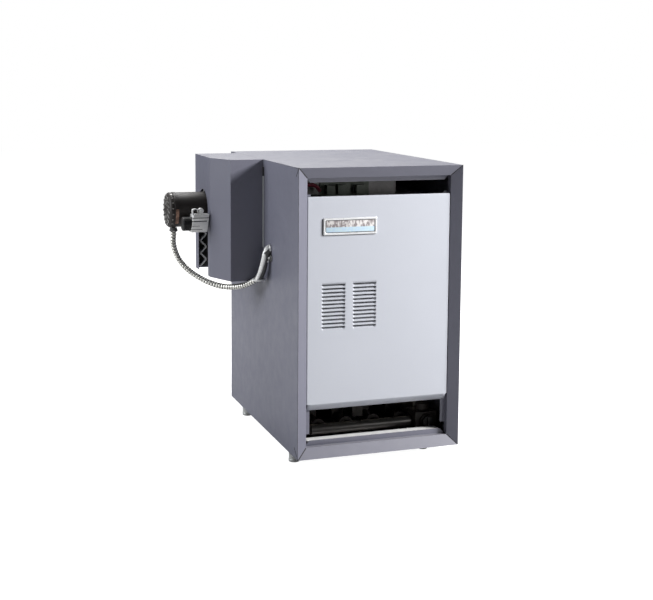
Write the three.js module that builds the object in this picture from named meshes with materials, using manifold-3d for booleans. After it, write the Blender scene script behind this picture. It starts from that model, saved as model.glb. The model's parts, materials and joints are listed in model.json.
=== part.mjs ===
// Gas-fired hot-water boiler in a sheet-metal jacket, with its burners, cast-iron
// heat exchanger, draft inducer and controls. Millimetres, +Z up.
// All pieces are laid out in the cabinet frame: the origin is the jacket's
// front-left-bottom corner, X runs across the front, Y to the back, Z up.
// The last lines shift the group so that the origin is on the floor, at the
// centre of the whole object's outline.

import * as THREE from 'three';
import { mergeVertices } from 'three/addons/utils/BufferGeometryUtils.js';
import Module from 'manifold-3d';

const wasm = await Module();
wasm.setup();

// ---------------------------------------------------------------- dimensions

// Jacket
const WIDTH = 432;
const DEPTH = 635;
const HEIGHT = 720;
const SHEET = 1.5;
const GAP = 0.3;

// Front surround: a bevelled strip, a return and an inward lip on each side
const BEVEL_WIDTH = 26;
const BEVEL_DEPTH = 15;
const LIP_PLANE = 29;
const LIP_REACH = 39;
const SILL_DEPTH = 60;
const REAR_FLANGE = 14;

// Feet
const FOOT_HEIGHT = 25;
const FOOT_RADIUS = 14;
const FOOT_LEFT = 15;
const FOOT_RIGHT = 366;
const FOOT_FRONT = 77;
const FOOT_REAR = 515;
const STUD_RADIUS = 4;
const STUD_TOP = 12;

// Lift-off door
const DOOR_LEFT = 27;
const DOOR_BOTTOM = 134;
const DOOR_TOP = 648;
const DOOR_FACE = 16;
const DOOR_FLANGE = 11;
const DOOR_RISE = 4;
const HOOK_HEIGHT = 20;
const HOOK_LEVELS = [160, 600];

// Louvres
const LOUVRE_COLUMNS = [65, 146.5];
const LOUVRE_WIDTH = 61;
const LOUVRE_COUNT = 12;
const LOUVRE_LOWEST = 320;
const LOUVRE_PITCH = 9.6;
const LOUVRE_SLOT = 5;

// Blank nameplate on the door
const PLATE_LEFT = 67;
const PLATE_BOTTOM = 553.5;
const PLATE_WIDTH = 140;
const PLATE_HEIGHT = 42;
const PLATE_RIM = 5.5;

// Draft inducer and its side cover
const COVER_OUT = 122;
const COVER_CHAMFER_OUT = 88;
const COVER_CHAMFER_BACK = 395;
const COVER_FRONT = 306;
const COVER_REAR = 562;
const COVER_BOTTOM = 399;
const MOTOR_Y = 475;
const MOTOR_Z = 575;
const MOTOR_RADIUS = 48;
const MOTOR_NEAR = -104;
const MOTOR_FAR = -209;
const CAP_FAR = -223;
const SLOT_HALF = 54.5;
const SCROLL_NEAR = -20;
const SCROLL_FAR = -98;
const SCROLL_RADIUS = 80;
const WHEEL_RADIUS = 60;
const SHAFT_RADIUS = 4;
const VENT_RADIUS = 38;
const VENT_X = -60;
const VENT_Z = 612;
const VENT_END = 604;

// Conduit and its two fittings
const CONDUIT_RADIUS = 7.5;
const CONDUIT_TOP = new THREE.Vector3(-204, 473, 520.7);
const ELBOW_WALL = new THREE.Vector3(-GAP, 246, 484);
const ELBOW_MOUTH = new THREE.Vector3(-25, 277, 409);
const ELBOW_OUTWARD = new THREE.Vector3(-0.5, 0.6, -0.62).normalize();
const ELBOW_RADIUS = 13;

// Heat exchanger
const SECTION_COUNT = 5;
const SECTION_PITCH = 76;
const SECTION_THICK = 60;
const SECTION_WALL = 8;
const SECTION_FRONT = 186;
const SECTION_REAR = 546;
const SECTION_BOTTOM = 210;
const SECTION_TOP = 520;
const PIPE_RADIUS = 21.1;
const PIPE_BORE = 17;
const PIPE_END = 650;
const SUPPLY_Z = 470;
const RETURN_Z = 262;

// Gas train
const BURNER_COUNT = 4;
const MANIFOLD_Y = 120;
const MANIFOLD_Z = 38;
const MANIFOLD_RADIUS = 13.35;
const VALVE_LEFT = 352;
const VALVE_RIGHT = 412;

// Controls behind the upper air opening
const PANEL_Y = 150;

const MIDDLE = WIDTH / 2;

// ------------------------------------------------------------ shape functions

function toSolid(geometry) {
  const bare = geometry.clone();
  bare.deleteAttribute('normal');
  bare.deleteAttribute('uv');
  const merged = mergeVertices(bare, 1e-4);
  return new wasm.Manifold(new wasm.Mesh({
    numProp: 3,
    vertProperties: new Float32Array(merged.attributes.position.array),
    triVerts: new Uint32Array(merged.index.array),
  }));
}

function toGeometry(solid) {
  const mesh = solid.getMesh();
  const geometry = new THREE.BufferGeometry();
  geometry.setAttribute('position', new THREE.BufferAttribute(mesh.vertProperties, 3));
  geometry.setIndex(new THREE.BufferAttribute(mesh.triVerts, 1));
  return geometry;
}

function join(solids) {
  return solids.reduce((sum, next) => sum.add(next));
}

function cut(solid, tools) {
  return tools.reduce((left, tool) => left.subtract(tool), solid);
}

// Rectangular block between two opposite corners.
function block(low, high) {
  const size = high.map((value, i) => value - low[i]);
  const geometry = new THREE.BoxGeometry(...size);
  geometry.translate(...low.map((value, i) => value + size[i] / 2));
  return toSolid(geometry);
}

// Moves a shape drawn in the plane across an axis, and extruded, to that axis.
// Points are (x, y) across z, (y, z) across x and (x, z) across y.
function alongAxis(geometry, axis, from, to) {
  if (axis === 'x') {
    geometry.applyMatrix4(new THREE.Matrix4().makeBasis(
      new THREE.Vector3(0, 1, 0), new THREE.Vector3(0, 0, 1), new THREE.Vector3(1, 0, 0)));
    geometry.translate(from, 0, 0);
  } else if (axis === 'y') {
    geometry.rotateX(Math.PI / 2);
    geometry.translate(0, to, 0);
  } else {
    geometry.translate(0, 0, from);
  }
  return geometry;
}

function extrudeShape(shape, axis, from, to, curveSegments = 12) {
  const geometry = new THREE.ExtrudeGeometry(shape, {
    depth: to - from, bevelEnabled: false, curveSegments,
  });
  return toSolid(alongAxis(geometry, axis, from, to));
}

function prism(points, axis, from, to) {
  const shape = new THREE.Shape(points.map(([u, v]) => new THREE.Vector2(u, v)));
  return extrudeShape(shape, axis, from, to);
}

// Round bar along an axis; centre holds the two coordinates across that axis.
function rod(axis, centre, radius, from, to, sides = 16) {
  const shape = new THREE.Shape();
  shape.absarc(centre[0], centre[1], radius, 0, Math.PI * 2, false);
  return extrudeShape(shape, axis, from, to, sides / 2);
}

function ring(axis, centre, outer, inner, from, to, sides = 16) {
  const over = 1;
  return rod(axis, centre, outer, from, to, sides)
    .subtract(rod(axis, centre, inner, from - over, to + over, sides));
}

// Outline of a folded strip: along the path, and back along a copy of it that
// is moved sideways by the thickness (positive to the left of the path).
function strip(path, thickness) {
  const points = path.map(([u, v]) => new THREE.Vector2(u, v));
  const normals = points.slice(1).map((point, i) => {
    const along = point.clone().sub(points[i]).normalize();
    return new THREE.Vector2(-along.y, along.x);
  });
  const shifted = points.map((point, i) => {
    const before = normals[Math.max(i - 1, 0)];
    const after = normals[Math.min(i, normals.length - 1)];
    const mitre = before.clone().add(after).divideScalar(1 + before.dot(after));
    return point.clone().addScaledVector(mitre, thickness);
  });
  return [...path, ...shifted.reverse().map((point) => [point.x, point.y])];
}

function folded(path, thickness, axis, from, to) {
  return prism(strip(path, thickness), axis, from, to);
}

// Tube with a round section along a smooth curve.
function tube(curve, radius, sides, steps) {
  const section = new THREE.Shape();
  section.absarc(0, 0, radius, 0, Math.PI * 2, false);
  return toSolid(new THREE.ExtrudeGeometry(section, {
    extrudePath: curve, steps, curveSegments: sides / 2, bevelEnabled: false,
  }));
}

// Solid of revolution about an axis line through (u, v); the profile is a list
// of (radius, distance along the axis) that starts and ends on the axis.
function turned(axis, centre, profile, sides = 24) {
  const geometry = new THREE.LatheGeometry(
    profile.map(([radius, along]) => new THREE.Vector2(radius, along)), sides);
  if (axis === 'x') {
    geometry.rotateZ(-Math.PI / 2);
    geometry.translate(0, centre[0], centre[1]);
  } else if (axis === 'y') {
    geometry.translate(centre[0], 0, centre[1]);
  } else {
    geometry.rotateX(Math.PI / 2);
    geometry.translate(centre[0], centre[1], 0);
  }
  return toSolid(geometry);
}

function roundedRectangle(left, bottom, right, top, radius) {
  const shape = new THREE.Shape();
  shape.moveTo(left + radius, bottom);
  shape.lineTo(right - radius, bottom);
  shape.absarc(right - radius, bottom + radius, radius, -Math.PI / 2, 0, false);
  shape.lineTo(right, top - radius);
  shape.absarc(right - radius, top - radius, radius, 0, Math.PI / 2, false);
  shape.lineTo(left + radius, top);
  shape.absarc(left + radius, top - radius, radius, Math.PI / 2, Math.PI, false);
  shape.lineTo(left, bottom + radius);
  shape.absarc(left + radius, bottom + radius, radius, Math.PI, Math.PI * 1.5, false);
  return shape;
}

// ------------------------------------------------------------------ materials

function finish(color, roughness, metalness) {
  return new THREE.MeshStandardMaterial({ color, roughness, metalness });
}

const jacketPaint = finish(0x6e6b78, 0.45, 0.1);
const doorPaint = finish(0xcfd3dd, 0.4, 0.05);
const zinc = finish(0xc9c9c4, 0.35, 0.9);
const galvanised = finish(0xb9bcbe, 0.45, 0.85);
const blackPaint = finish(0x1d1a19, 0.5, 0.2);
const blackPlastic = finish(0x191919, 0.6, 0);
const castIron = finish(0x3b3a3a, 0.85, 0.4);
const aluminised = finish(0x8f9192, 0.5, 0.8);
const copper = finish(0x9a5b3c, 0.35, 0.9);
const brass = finish(0xb08d4a, 0.35, 0.9);
const ironPipe = finish(0x2f2e2e, 0.6, 0.5);
const fibreBoard = finish(0xd8d2c4, 0.95, 0);
const greenBoard = finish(0x2d4a34, 0.6, 0);
const redPlastic = finish(0xa22a22, 0.5, 0);
const maroonWire = finish(0x5a1420, 0.5, 0);
const nameplateMetal = finish(0xc2c5c9, 0.3, 0.8);

const boiler = new THREE.Group();

function add(name, solid, material) {
  const mesh = new THREE.Mesh(toGeometry(solid), material);
  mesh.name = name;
  boiler.add(mesh);
}

// --------------------------------------------------------------- jacket sheets

// Region outside a 45-degree mitre at a lower or upper corner of the surround,
// seen from the front, on the side piece's part of the corner.
function mitreTools(side) {
  const reach = 60;
  const over = 5;
  const slack = GAP * 0.7;
  const x = (value) => (side === 'left' ? value : WIDTH - value);
  const lower = [[x(-1), slack - 1], [x(reach), reach + slack], [x(reach), -over], [x(-1), -over]];
  const upper = lower.map(([u, v]) => [u, HEIGHT - v]);
  return [lower, upper].map((points) => prism(points, 'y', -1, LIP_PLANE + 2 * SHEET));
}

function sidePanel(side) {
  const x = (value) => (side === 'left' ? value : WIDTH - value);
  const turn = side === 'left' ? 1 : -1;
  const path = [
    [REAR_FLANGE, DEPTH], [0, DEPTH], [0, 0], [BEVEL_WIDTH, BEVEL_DEPTH],
    [BEVEL_WIDTH, LIP_PLANE], [LIP_REACH, LIP_PLANE],
  ].map(([u, v]) => [x(u), v]);
  const sheet = folded(path, turn * SHEET, 'z', 0, HEIGHT - SHEET - GAP);
  const lipZone = (low, high, from, to) => block(
    [Math.min(x(low), x(high)), LIP_PLANE - 1, from],
    [Math.max(x(low), x(high)), LIP_PLANE + 2 * SHEET, to]);
  const lipFoot = lipZone(BEVEL_WIDTH + GAP, LIP_REACH + 1, -1, 56);
  const lipHead = lipZone(BEVEL_WIDTH + GAP, LIP_REACH + 1, DOOR_TOP + DOOR_RISE + 1, HEIGHT);
  const hookNotches = HOOK_LEVELS.map((level) => lipZone(
    LIP_REACH - 6, LIP_REACH + 1, level + HOOK_HEIGHT + 1, level + 2 * HOOK_HEIGHT + 4));
  return cut(sheet, [...mitreTools(side), lipFoot, lipHead, ...hookNotches]);
}

function addJacket() {
  const inducerHole = rod('x', [MOTOR_Y, MOTOR_Z], 56, -2, 4, 32);
  const conduitHole = rod('x', [ELBOW_WALL.y, ELBOW_WALL.z], 9, -2, 4, 16);
  add('left_side_panel', cut(sidePanel('left'), [inducerHole, conduitHole]), jacketPaint);
  const gasHole = rod('x', [MANIFOLD_Y, MANIFOLD_Z], 16, WIDTH - 4, WIDTH + 2, 24);
  add('right_side_panel', cut(sidePanel('right'), [gasHole]), jacketPaint);

  // Outside the two side mitres, mirrored about the diagonals: the top's and
  // the sill's own share of each corner.
  const reach = 60;
  const slack = GAP * 0.7;
  const endCuts = (up) => ['left', 'right'].map((side) => {
    const x = (value) => (side === 'left' ? value : WIDTH - value);
    const z = (value) => (up ? HEIGHT - value : value);
    const points = [[x(-1), z(-1 - slack)], [x(reach), z(reach - slack)], [x(-1), z(reach)]];
    return prism(points, 'y', -1, LIP_PLANE + 2 * SHEET);
  });
  const topPath = [
    [DEPTH, HEIGHT], [0, HEIGHT], [BEVEL_DEPTH, HEIGHT - BEVEL_WIDTH],
    [LIP_PLANE, HEIGHT - BEVEL_WIDTH], [LIP_PLANE, HEIGHT - LIP_REACH + 1],
  ];
  add('top_panel', cut(folded(topPath, SHEET, 'x', 0, WIDTH), endCuts(true)), jacketPaint);
  const sillPath = [
    [SILL_DEPTH, 0], [0, 0], [BEVEL_DEPTH, BEVEL_WIDTH],
    [LIP_PLANE, BEVEL_WIDTH], [LIP_PLANE, LIP_REACH],
  ];
  const sillSheet = folded(sillPath, -SHEET, 'x', SHEET + GAP, WIDTH - SHEET - GAP);
  add('front_sill', cut(sillSheet, endCuts(false)), jacketPaint);

  const ledgePath = [[LIP_PLANE + SHEET + GAP, LIP_REACH], [54, LIP_REACH], [54, 20]];
  add('base_ledge', folded(ledgePath, -SHEET, 'x', 33, WIDTH - 41), galvanised);

  const inside = SHEET + GAP;
  const rearY = DEPTH - 2 * inside;
  const rear = block([inside, rearY, 2.5], [WIDTH - inside, rearY + SHEET, HEIGHT - 2 * inside]);
  const pipeHoles = [SUPPLY_Z, RETURN_Z].map(
    (z) => rod('y', [MIDDLE, z], PIPE_RADIUS + 6, rearY - 2, rearY + 4));
  add('rear_panel', cut(rear, pipeHoles), jacketPaint);

  const tray = block([inside, SILL_DEPTH + GAP, GAP], [WIDTH - inside, rearY - GAP, GAP + SHEET]);
  const studHoles = footPlaces().map(({ x, y }) => rod('z', [x, y], STUD_RADIUS + 0.8, -1, 4, 8));
  add('base_tray', cut(tray, studHoles), galvanised);
}

function footPlaces() {
  const places = [];
  for (const [depthName, y] of [['front', FOOT_FRONT], ['rear', FOOT_REAR]]) {
    for (const [sideName, x] of [['left', FOOT_LEFT], ['right', FOOT_RIGHT]]) {
      places.push({ name: `foot_${depthName}_${sideName}`, x, y });
    }
  }
  return places;
}

// Round glide with a threaded stud that passes the base tray.
function addFeet() {
  for (const { name, x, y } of footPlaces()) {
    const glide = turned('y', [0, 0], [
      [0, -FOOT_HEIGHT], [FOOT_RADIUS, -FOOT_HEIGHT], [FOOT_RADIUS, -GAP],
      [STUD_RADIUS, -GAP], [STUD_RADIUS, STUD_TOP], [0, STUD_TOP],
    ], 20).rotate([90, 0, 0]).translate([x, y, 0]);
    add(name, glide, zinc);
  }
}

// ------------------------------------------------------------------------ door

function hook(side, level) {
  const x = (value) => (side === 'left' ? value : WIDTH - value);
  const box = (u, from, v, to) => block(
    [Math.min(x(u), x(v)), from, level], [Math.max(x(u), x(v)), to, level + HOOK_HEIGHT]);
  const arm = box(LIP_REACH + 1.5, DOOR_FACE + 1, LIP_REACH + 3, LIP_PLANE + 4);
  const tab = box(LIP_REACH - 4, LIP_PLANE + 2.5, LIP_REACH + 3, LIP_PLANE + 4);
  return arm.add(tab);
}

function addDoor() {
  const right = WIDTH - DOOR_LEFT;
  const back = DOOR_FACE + DOOR_FLANGE;
  const face = block([DOOR_LEFT, DOOR_FACE, DOOR_BOTTOM], [right, DOOR_FACE + SHEET, DOOR_TOP]);
  const flanges = [
    block([DOOR_LEFT, DOOR_FACE, DOOR_BOTTOM], [DOOR_LEFT + SHEET, back, DOOR_TOP]),
    block([right - SHEET, DOOR_FACE, DOOR_BOTTOM], [right, back, DOOR_TOP]),
    block([DOOR_LEFT, DOOR_FACE, DOOR_TOP - SHEET], [right, back, DOOR_TOP]),
  ];
  const skirtPath = [[DOOR_FACE, DOOR_BOTTOM + 2], [DOOR_FACE, DOOR_BOTTOM], [back - 1, DOOR_BOTTOM - 16]];
  const skirt = folded(skirtPath, SHEET, 'x', LIP_REACH, WIDTH - LIP_REACH - 1);
  const hooks = ['left', 'right'].flatMap(
    (side) => HOOK_LEVELS.map((level) => hook(side, level)));
  const slots = [];
  for (const left of LOUVRE_COLUMNS) {
    for (let row = 0; row < LOUVRE_COUNT; row += 1) {
      const low = LOUVRE_LOWEST + row * LOUVRE_PITCH;
      const high = low + LOUVRE_SLOT;
      slots.push(block([left, DOOR_FACE - 1, low], [left + LOUVRE_WIDTH, DOOR_FACE + 3, high]));
    }
  }
  add('front_door', cut(join([face, ...flanges, skirt, ...hooks]), slots), doorPaint);

  const plateFront = DOOR_FACE - 3.3;
  const plateShape = (inset, radius) => roundedRectangle(
    PLATE_LEFT + inset, PLATE_BOTTOM + inset,
    PLATE_LEFT + PLATE_WIDTH - inset, PLATE_BOTTOM + PLATE_HEIGHT - inset, radius);
  const plate = extrudeShape(plateShape(0, 3), 'y', plateFront, DOOR_FACE - GAP, 2);
  const recess = extrudeShape(plateShape(PLATE_RIM, 1.5), 'y', plateFront - 1, plateFront + 1, 2);
  add('nameplate', plate.subtract(recess), nameplateMetal);
}

// --------------------------------------------------- draft inducer and its cover

function coverOutline(inset) {
  const chamfer = new THREE.Vector2(COVER_CHAMFER_OUT - COVER_OUT, COVER_CHAMFER_BACK - COVER_FRONT);
  const lean = inset * Math.tan(0.5 * Math.atan2(-chamfer.x, chamfer.y));
  const turnIn = inset * Math.tan(0.5 * (Math.PI / 2 - Math.atan2(-chamfer.x, chamfer.y)));
  const wall = inset > 0 ? 1 : -GAP;
  return [
    [wall, COVER_FRONT + inset], [-COVER_CHAMFER_OUT + turnIn, COVER_FRONT + inset],
    [-COVER_OUT + inset, COVER_CHAMFER_BACK + lean], [-COVER_OUT + inset, COVER_REAR - inset],
    [wall, COVER_REAR - inset],
  ].reverse();
}

function addCover() {
  const outer = prism(coverOutline(0), 'z', COVER_BOTTOM, HEIGHT);
  const inner = prism(coverOutline(SHEET), 'z', COVER_BOTTOM - 1, HEIGHT - SHEET);
  const slotShape = new THREE.Shape();
  slotShape.moveTo(MOTOR_Y - SLOT_HALF - 2.5, COVER_BOTTOM - 2);
  slotShape.lineTo(MOTOR_Y + SLOT_HALF - 2.5, COVER_BOTTOM - 2);
  slotShape.lineTo(MOTOR_Y + SLOT_HALF - 2.5, MOTOR_Z);
  slotShape.absarc(MOTOR_Y - 2.5, MOTOR_Z, SLOT_HALF, 0, Math.PI, false);
  const slot = extrudeShape(slotShape, 'x', -COVER_OUT - 2, -COVER_OUT + 4, 14);
  const ventHole = rod('y', [VENT_X, VENT_Z], VENT_RADIUS + 2, COVER_REAR - 4, COVER_REAR + 2, 24);
  add('inducer_cover', cut(outer, [inner, slot, ventHole]), jacketPaint);
}

// Volute outline with a straight outlet that leaves to the rear.
function scrollShape(inset) {
  const radius = SCROLL_RADIUS - inset;
  const mouth = inset > 0 ? COVER_REAR : COVER_REAR - 22;
  const throat = MOTOR_Z + inset;
  const shape = new THREE.Shape();
  shape.moveTo(mouth, throat);
  shape.lineTo(mouth, MOTOR_Z + radius);
  shape.lineTo(MOTOR_Y, MOTOR_Z + radius);
  shape.absarc(MOTOR_Y, MOTOR_Z, radius, Math.PI / 2, Math.PI * 2 - 0.02, false);
  return shape;
}

function addInducer() {
  const outer = extrudeShape(scrollShape(0), 'x', SCROLL_FAR, SCROLL_NEAR, 14);
  const inner = extrudeShape(scrollShape(2), 'x', SCROLL_FAR + 2, SCROLL_NEAR - 2, 14);
  const inlet = rod('x', [MOTOR_Y, MOTOR_Z], 44, SCROLL_NEAR - 4, SCROLL_NEAR + 2, 24);
  const shaftHole = rod('x', [MOTOR_Y, MOTOR_Z], 9, SCROLL_FAR - 2, SCROLL_FAR + 4, 12);
  add('inducer_scroll', cut(outer, [inner, inlet, shaftHole]), aluminised);

  const collarStart = COVER_REAR - 22 + GAP;
  const flangeEnd = [SCROLL_NEAR, collarStart + 3, MOTOR_Z + SCROLL_RADIUS];
  const flange = block([SCROLL_FAR, collarStart, MOTOR_Z], flangeEnd);
  const pipe = rod('y', [VENT_X, VENT_Z], VENT_RADIUS, collarStart, VENT_END, 24);
  const bore = rod('y', [VENT_X, VENT_Z], VENT_RADIUS - 2, collarStart - 1, VENT_END + 1, 24);
  add('vent_collar', flange.add(pipe).subtract(bore), aluminised);

  const nearEnd = -34;
  const farEnd = -86;
  const backDisc = rod('x', [MOTOR_Y, MOTOR_Z], WHEEL_RADIUS, farEnd, farEnd + 2, 20);
  const frontRing = ring('x', [MOTOR_Y, MOTOR_Z], WHEEL_RADIUS, WHEEL_RADIUS - 14, nearEnd - 2, nearEnd, 20);
  const hub = rod('x', [MOTOR_Y, MOTOR_Z], 12, farEnd, farEnd + 24, 12);
  const blades = [];
  const bladeCount = 10;
  for (let i = 0; i < bladeCount; i += 1) {
    blades.push(block([farEnd, -1, WHEEL_RADIUS - 12], [nearEnd, 1, WHEEL_RADIUS - 1])
      .rotate([(360 * i) / bladeCount, 0, 0]).translate([0, MOTOR_Y, MOTOR_Z]));
  }
  const shaftBore = rod('x', [MOTOR_Y, MOTOR_Z], SHAFT_RADIUS + GAP, farEnd - 1, farEnd + 30, 12);
  add('inducer_wheel', join([backDisc, frontRing, hub, ...blades]).subtract(shaftBore), aluminised);
  add('inducer_shaft', rod('x', [MOTOR_Y, MOTOR_Z], SHAFT_RADIUS, -150, -60, 12), zinc);
}

// Motor body, its slotted end cap and the plate that carries it on the scroll.
function addMotor() {
  const centre = [MOTOR_Y, MOTOR_Z];
  const plate = rod('x', centre, 64, SCROLL_FAR - 3.3, SCROLL_FAR - GAP, 24)
    .subtract(rod('x', centre, 9, SCROLL_FAR - 5, SCROLL_FAR, 12));
  add('motor_mount_plate', plate, zinc);

  const can = turned('y', [0, 0], [
    [0, 0], [MOTOR_RADIUS - 3, 0], [MOTOR_RADIUS, 3], [MOTOR_RADIUS, 102], [MOTOR_RADIUS - 3, 105], [0, 105],
  ], 28).rotate([0, 0, 90]).translate([MOTOR_NEAR, MOTOR_Y, MOTOR_Z]);
  const shaftBore = rod('x', centre, SHAFT_RADIUS + 1, -152, MOTOR_NEAR + 2, 12);
  add('motor_can', can.subtract(shaftBore), blackPaint);

  const capRadius = MOTOR_RADIUS - 0.5;
  const cap = rod('x', centre, capRadius, CAP_FAR, MOTOR_FAR - GAP, 28);
  const hollow = rod('x', centre, capRadius - 2.5, CAP_FAR + 2, MOTOR_FAR + 1, 28);
  const slots = [];
  const slotCount = 10;
  for (let i = 0; i < slotCount; i += 1) {
    slots.push(block([CAP_FAR - 1, -3, 20], [CAP_FAR + 9, 3, capRadius + 2])
      .rotate([(360 * i) / slotCount, 0, 0]).translate([0, MOTOR_Y, MOTOR_Z]));
  }
  add('motor_end_cap', cut(cap, [hollow, ...slots]), blackPlastic);
}

// Wiring box, clip, capacitor and earth strap on the front of the motor.
function addMotorWiring() {
  const box = block([-168, 392, 516], [-124, 425, 569]);
  const lid = block([-166, 390, 518], [-126, 393, 567]);
  add('terminal_box', box.add(lid), zinc);
  const clip = folded([[-168, 569 + GAP], [-152, 569 + GAP], [-152, 585]], SHEET, 'y', 401, 419);
  const screw = rod('x', [410, 579], 4, -158, -147, 12);
  add('terminal_box_clip', clip.add(screw), zinc);

  const body = [[0, 0]];
  const ribs = 3;
  const ribPitch = 8.6;
  for (let i = 0; i < ribs; i += 1) {
    body.push([19, i * ribPitch], [19, i * ribPitch + 6], [17, i * ribPitch + 6], [17, (i + 1) * ribPitch]);
  }
  body.push([0, ribs * ribPitch]);
  const capacitor = turned('y', [0, 0], body, 16).rotate([0, 0, 90]).translate([-168.5, 411, 543.5]);
  add('run_capacitor', capacitor, blackPlastic);

  const inner = MOTOR_RADIUS + 0.8;
  const start = Math.PI - 0.14;
  const end = Math.PI + 0.76;
  const strap = new THREE.Shape();
  strap.absarc(MOTOR_Y, MOTOR_Z, inner + 1.5, start, end, false);
  strap.absarc(MOTOR_Y, MOTOR_Z, inner, end, start, true);
  add('earth_strap', extrudeShape(strap, 'x', -207, -198, 6), copper);
}

// Zigzag spring brace between the cover's rear wall and the blower, and the
// air-proving switch beside it.
function addBlowerBrace() {
  const zigzag = [];
  const pitch = 36;
  for (let i = 0; i < 3; i += 1) {
    zigzag.push([-117, 514 - i * pitch], [-103, 500 - i * pitch]);
  }
  zigzag.push([-117, 406]);
  add('blower_brace', folded(zigzag, 1.5, 'y', 538, 559), galvanised);

  const disc = rod('x', [470, 448], 33, -70, -46, 20);
  const nozzle = rod('x', [470, 448], 4, -82, -69, 8);
  const tab = block([-48, 440, 480], [-46, 500, 492]);
  add('pressure_switch', join([disc, nozzle, tab]), blackPlastic);
}

// --------------------------------------------------------------------- conduit

// Centre line of the flexible metal conduit, from the fitting under the motor
// down, forward under the cover and up into the elbow.
const conduitRoute = [
  [-204, 473, 511], [-205.5, 471, 487], [-202, 466, 465], [-194.5, 459, 444],
  [-182.5, 448.5, 425.5], [-166, 435, 409], [-147, 419.5, 395.5], [-127, 402, 385],
  [-106, 383.5, 378], [-86.5, 364, 376], [-68.5, 342, 378.5], [-53.5, 318, 384.5],
  [-40.5, 298, 393.5],
].map((point) => new THREE.Vector3(...point));

function addConduit() {
  const mouthEnd = ELBOW_MOUTH.clone().addScaledVector(ELBOW_OUTWARD, GAP);
  const beforeMouth = ELBOW_MOUTH.clone().addScaledVector(ELBOW_OUTWARD, 9);
  const route = [CONDUIT_TOP, ...conduitRoute, beforeMouth, mouthEnd];
  const curve = new THREE.CatmullRomCurve3(route, false, 'centripetal');
  add('conduit', tube(curve, CONDUIT_RADIUS, 10, 36), zinc);

  const under = MOTOR_Z - MOTOR_RADIUS - GAP;
  const collar = rod('z', [CONDUIT_TOP.x, CONDUIT_TOP.y], 10, CONDUIT_TOP.z + GAP, under);
  add('conduit_motor_fitting', collar, zinc);
}

// Elbow fitting: a round body from the wall to the mouth, a wider rim at each end.
function addElbow() {
  const away = new THREE.Vector3(-1, 0, 0);
  const reach = 34;
  const curve = new THREE.CubicBezierCurve3(
    ELBOW_WALL,
    ELBOW_WALL.clone().addScaledVector(away, reach),
    ELBOW_MOUTH.clone().addScaledVector(ELBOW_OUTWARD, -reach),
    ELBOW_MOUTH);
  const body = tube(curve, ELBOW_RADIUS, 12, 8);
  const flange = rod('x', [ELBOW_WALL.y, ELBOW_WALL.z], ELBOW_RADIUS + 4, ELBOW_WALL.x - 5, ELBOW_WALL.x);
  const rimLine = new THREE.LineCurve3(
    ELBOW_MOUTH.clone().addScaledVector(ELBOW_OUTWARD, -8), ELBOW_MOUTH);
  const rim = tube(rimLine, ELBOW_RADIUS + 3, 12, 1);
  add('conduit_elbow', join([body, flange, rim]), zinc);

  const nut = ring('x', [ELBOW_WALL.y, ELBOW_WALL.z], 15, 8.5, SHEET + GAP, SHEET + 6, 6);
  add('conduit_locknut', nut, zinc);
}

// --------------------------------------------------------------- heat exchanger

const sectionCentre = (i) => MIDDLE + (i - (SECTION_COUNT - 1) / 2) * SECTION_PITCH;

// Hollow cast section with a pair of cross ports for the push nipples.
function section(i) {
  const half = SECTION_THICK / 2;
  const x = sectionCentre(i);
  const wall = SECTION_WALL;
  const ports = [[260, SUPPLY_Z], [470, RETURN_Z]];
  const outer = block([x - half, SECTION_FRONT, SECTION_BOTTOM], [x + half, SECTION_REAR, SECTION_TOP]);
  const inner = block(
    [x - half + wall, SECTION_FRONT + wall, SECTION_BOTTOM + wall],
    [x + half - wall, SECTION_REAR - wall, SECTION_TOP - wall]);
  const bores = ports.map((port) => rod('x', port, 25, x - half - 1, x + half + 1, 12));
  return cut(outer, [inner, ...bores]);
}

function addHeatExchanger() {
  for (let i = 0; i < SECTION_COUNT; i += 1) {
    add(`section_${i + 1}`, section(i), castIron);
  }
  const ends = [22, WIDTH - 22];
  const rods = [['tie_rod_front', SECTION_FRONT - 8, 400], ['tie_rod_rear', SECTION_REAR + 8, 330]];
  for (const [name, y, z] of rods) {
    const bar = rod('x', [y, z], 5, ...ends, 12);
    const nuts = [[ends[0] + 2, ends[0] + 10], [ends[1] - 10, ends[1] - 2]]
      .map(([from, to]) => rod('x', [y, z], 7.4, from, to, 6));
    add(name, join([bar, ...nuts]), zinc);
  }

  const hoodLow = [28, 182, SECTION_TOP + 2];
  const hoodHigh = [WIDTH - 28, 550, 636];
  const hood = block(hoodLow, hoodHigh);
  const room = block(hoodLow.map((v, i) => v + (i === 2 ? -1 : 2)), hoodHigh.map((v) => v - 2));
  const duct = rod('x', [MOTOR_Y, MOTOR_Z], 50, SCROLL_NEAR + GAP, 30, 24);
  const ductBore = rod('x', [MOTOR_Y, MOTOR_Z], 48, SCROLL_NEAR - 1, 34, 24);
  add('flue_collector', cut(hood.add(duct), [room, ductBore]), aluminised);

  const low = 14;
  const chamber = block([20, 176, low], [WIDTH - 20, 556, 205]);
  const chamberRoom = block([30, 186, low - 1], [WIDTH - 30, 546, 206]);
  const burnerWindow = block([50, 170, low - 1], [WIDTH - 50, 190, 78]);
  add('combustion_chamber', cut(chamber, [chamberRoom, burnerWindow]), fibreBoard);

  for (const [name, z] of [['supply_pipe', SUPPLY_Z], ['return_pipe', RETURN_Z]]) {
    const pipe = ring('y', [MIDDLE, z], PIPE_RADIUS, PIPE_BORE, SECTION_REAR + GAP, PIPE_END);
    add(name, pipe, ironPipe);
  }
}

// -------------------------------------------------------------------- gas train

const burnerX = (i) => MIDDLE + (i - (BURNER_COUNT - 1) / 2) * SECTION_PITCH;

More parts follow.
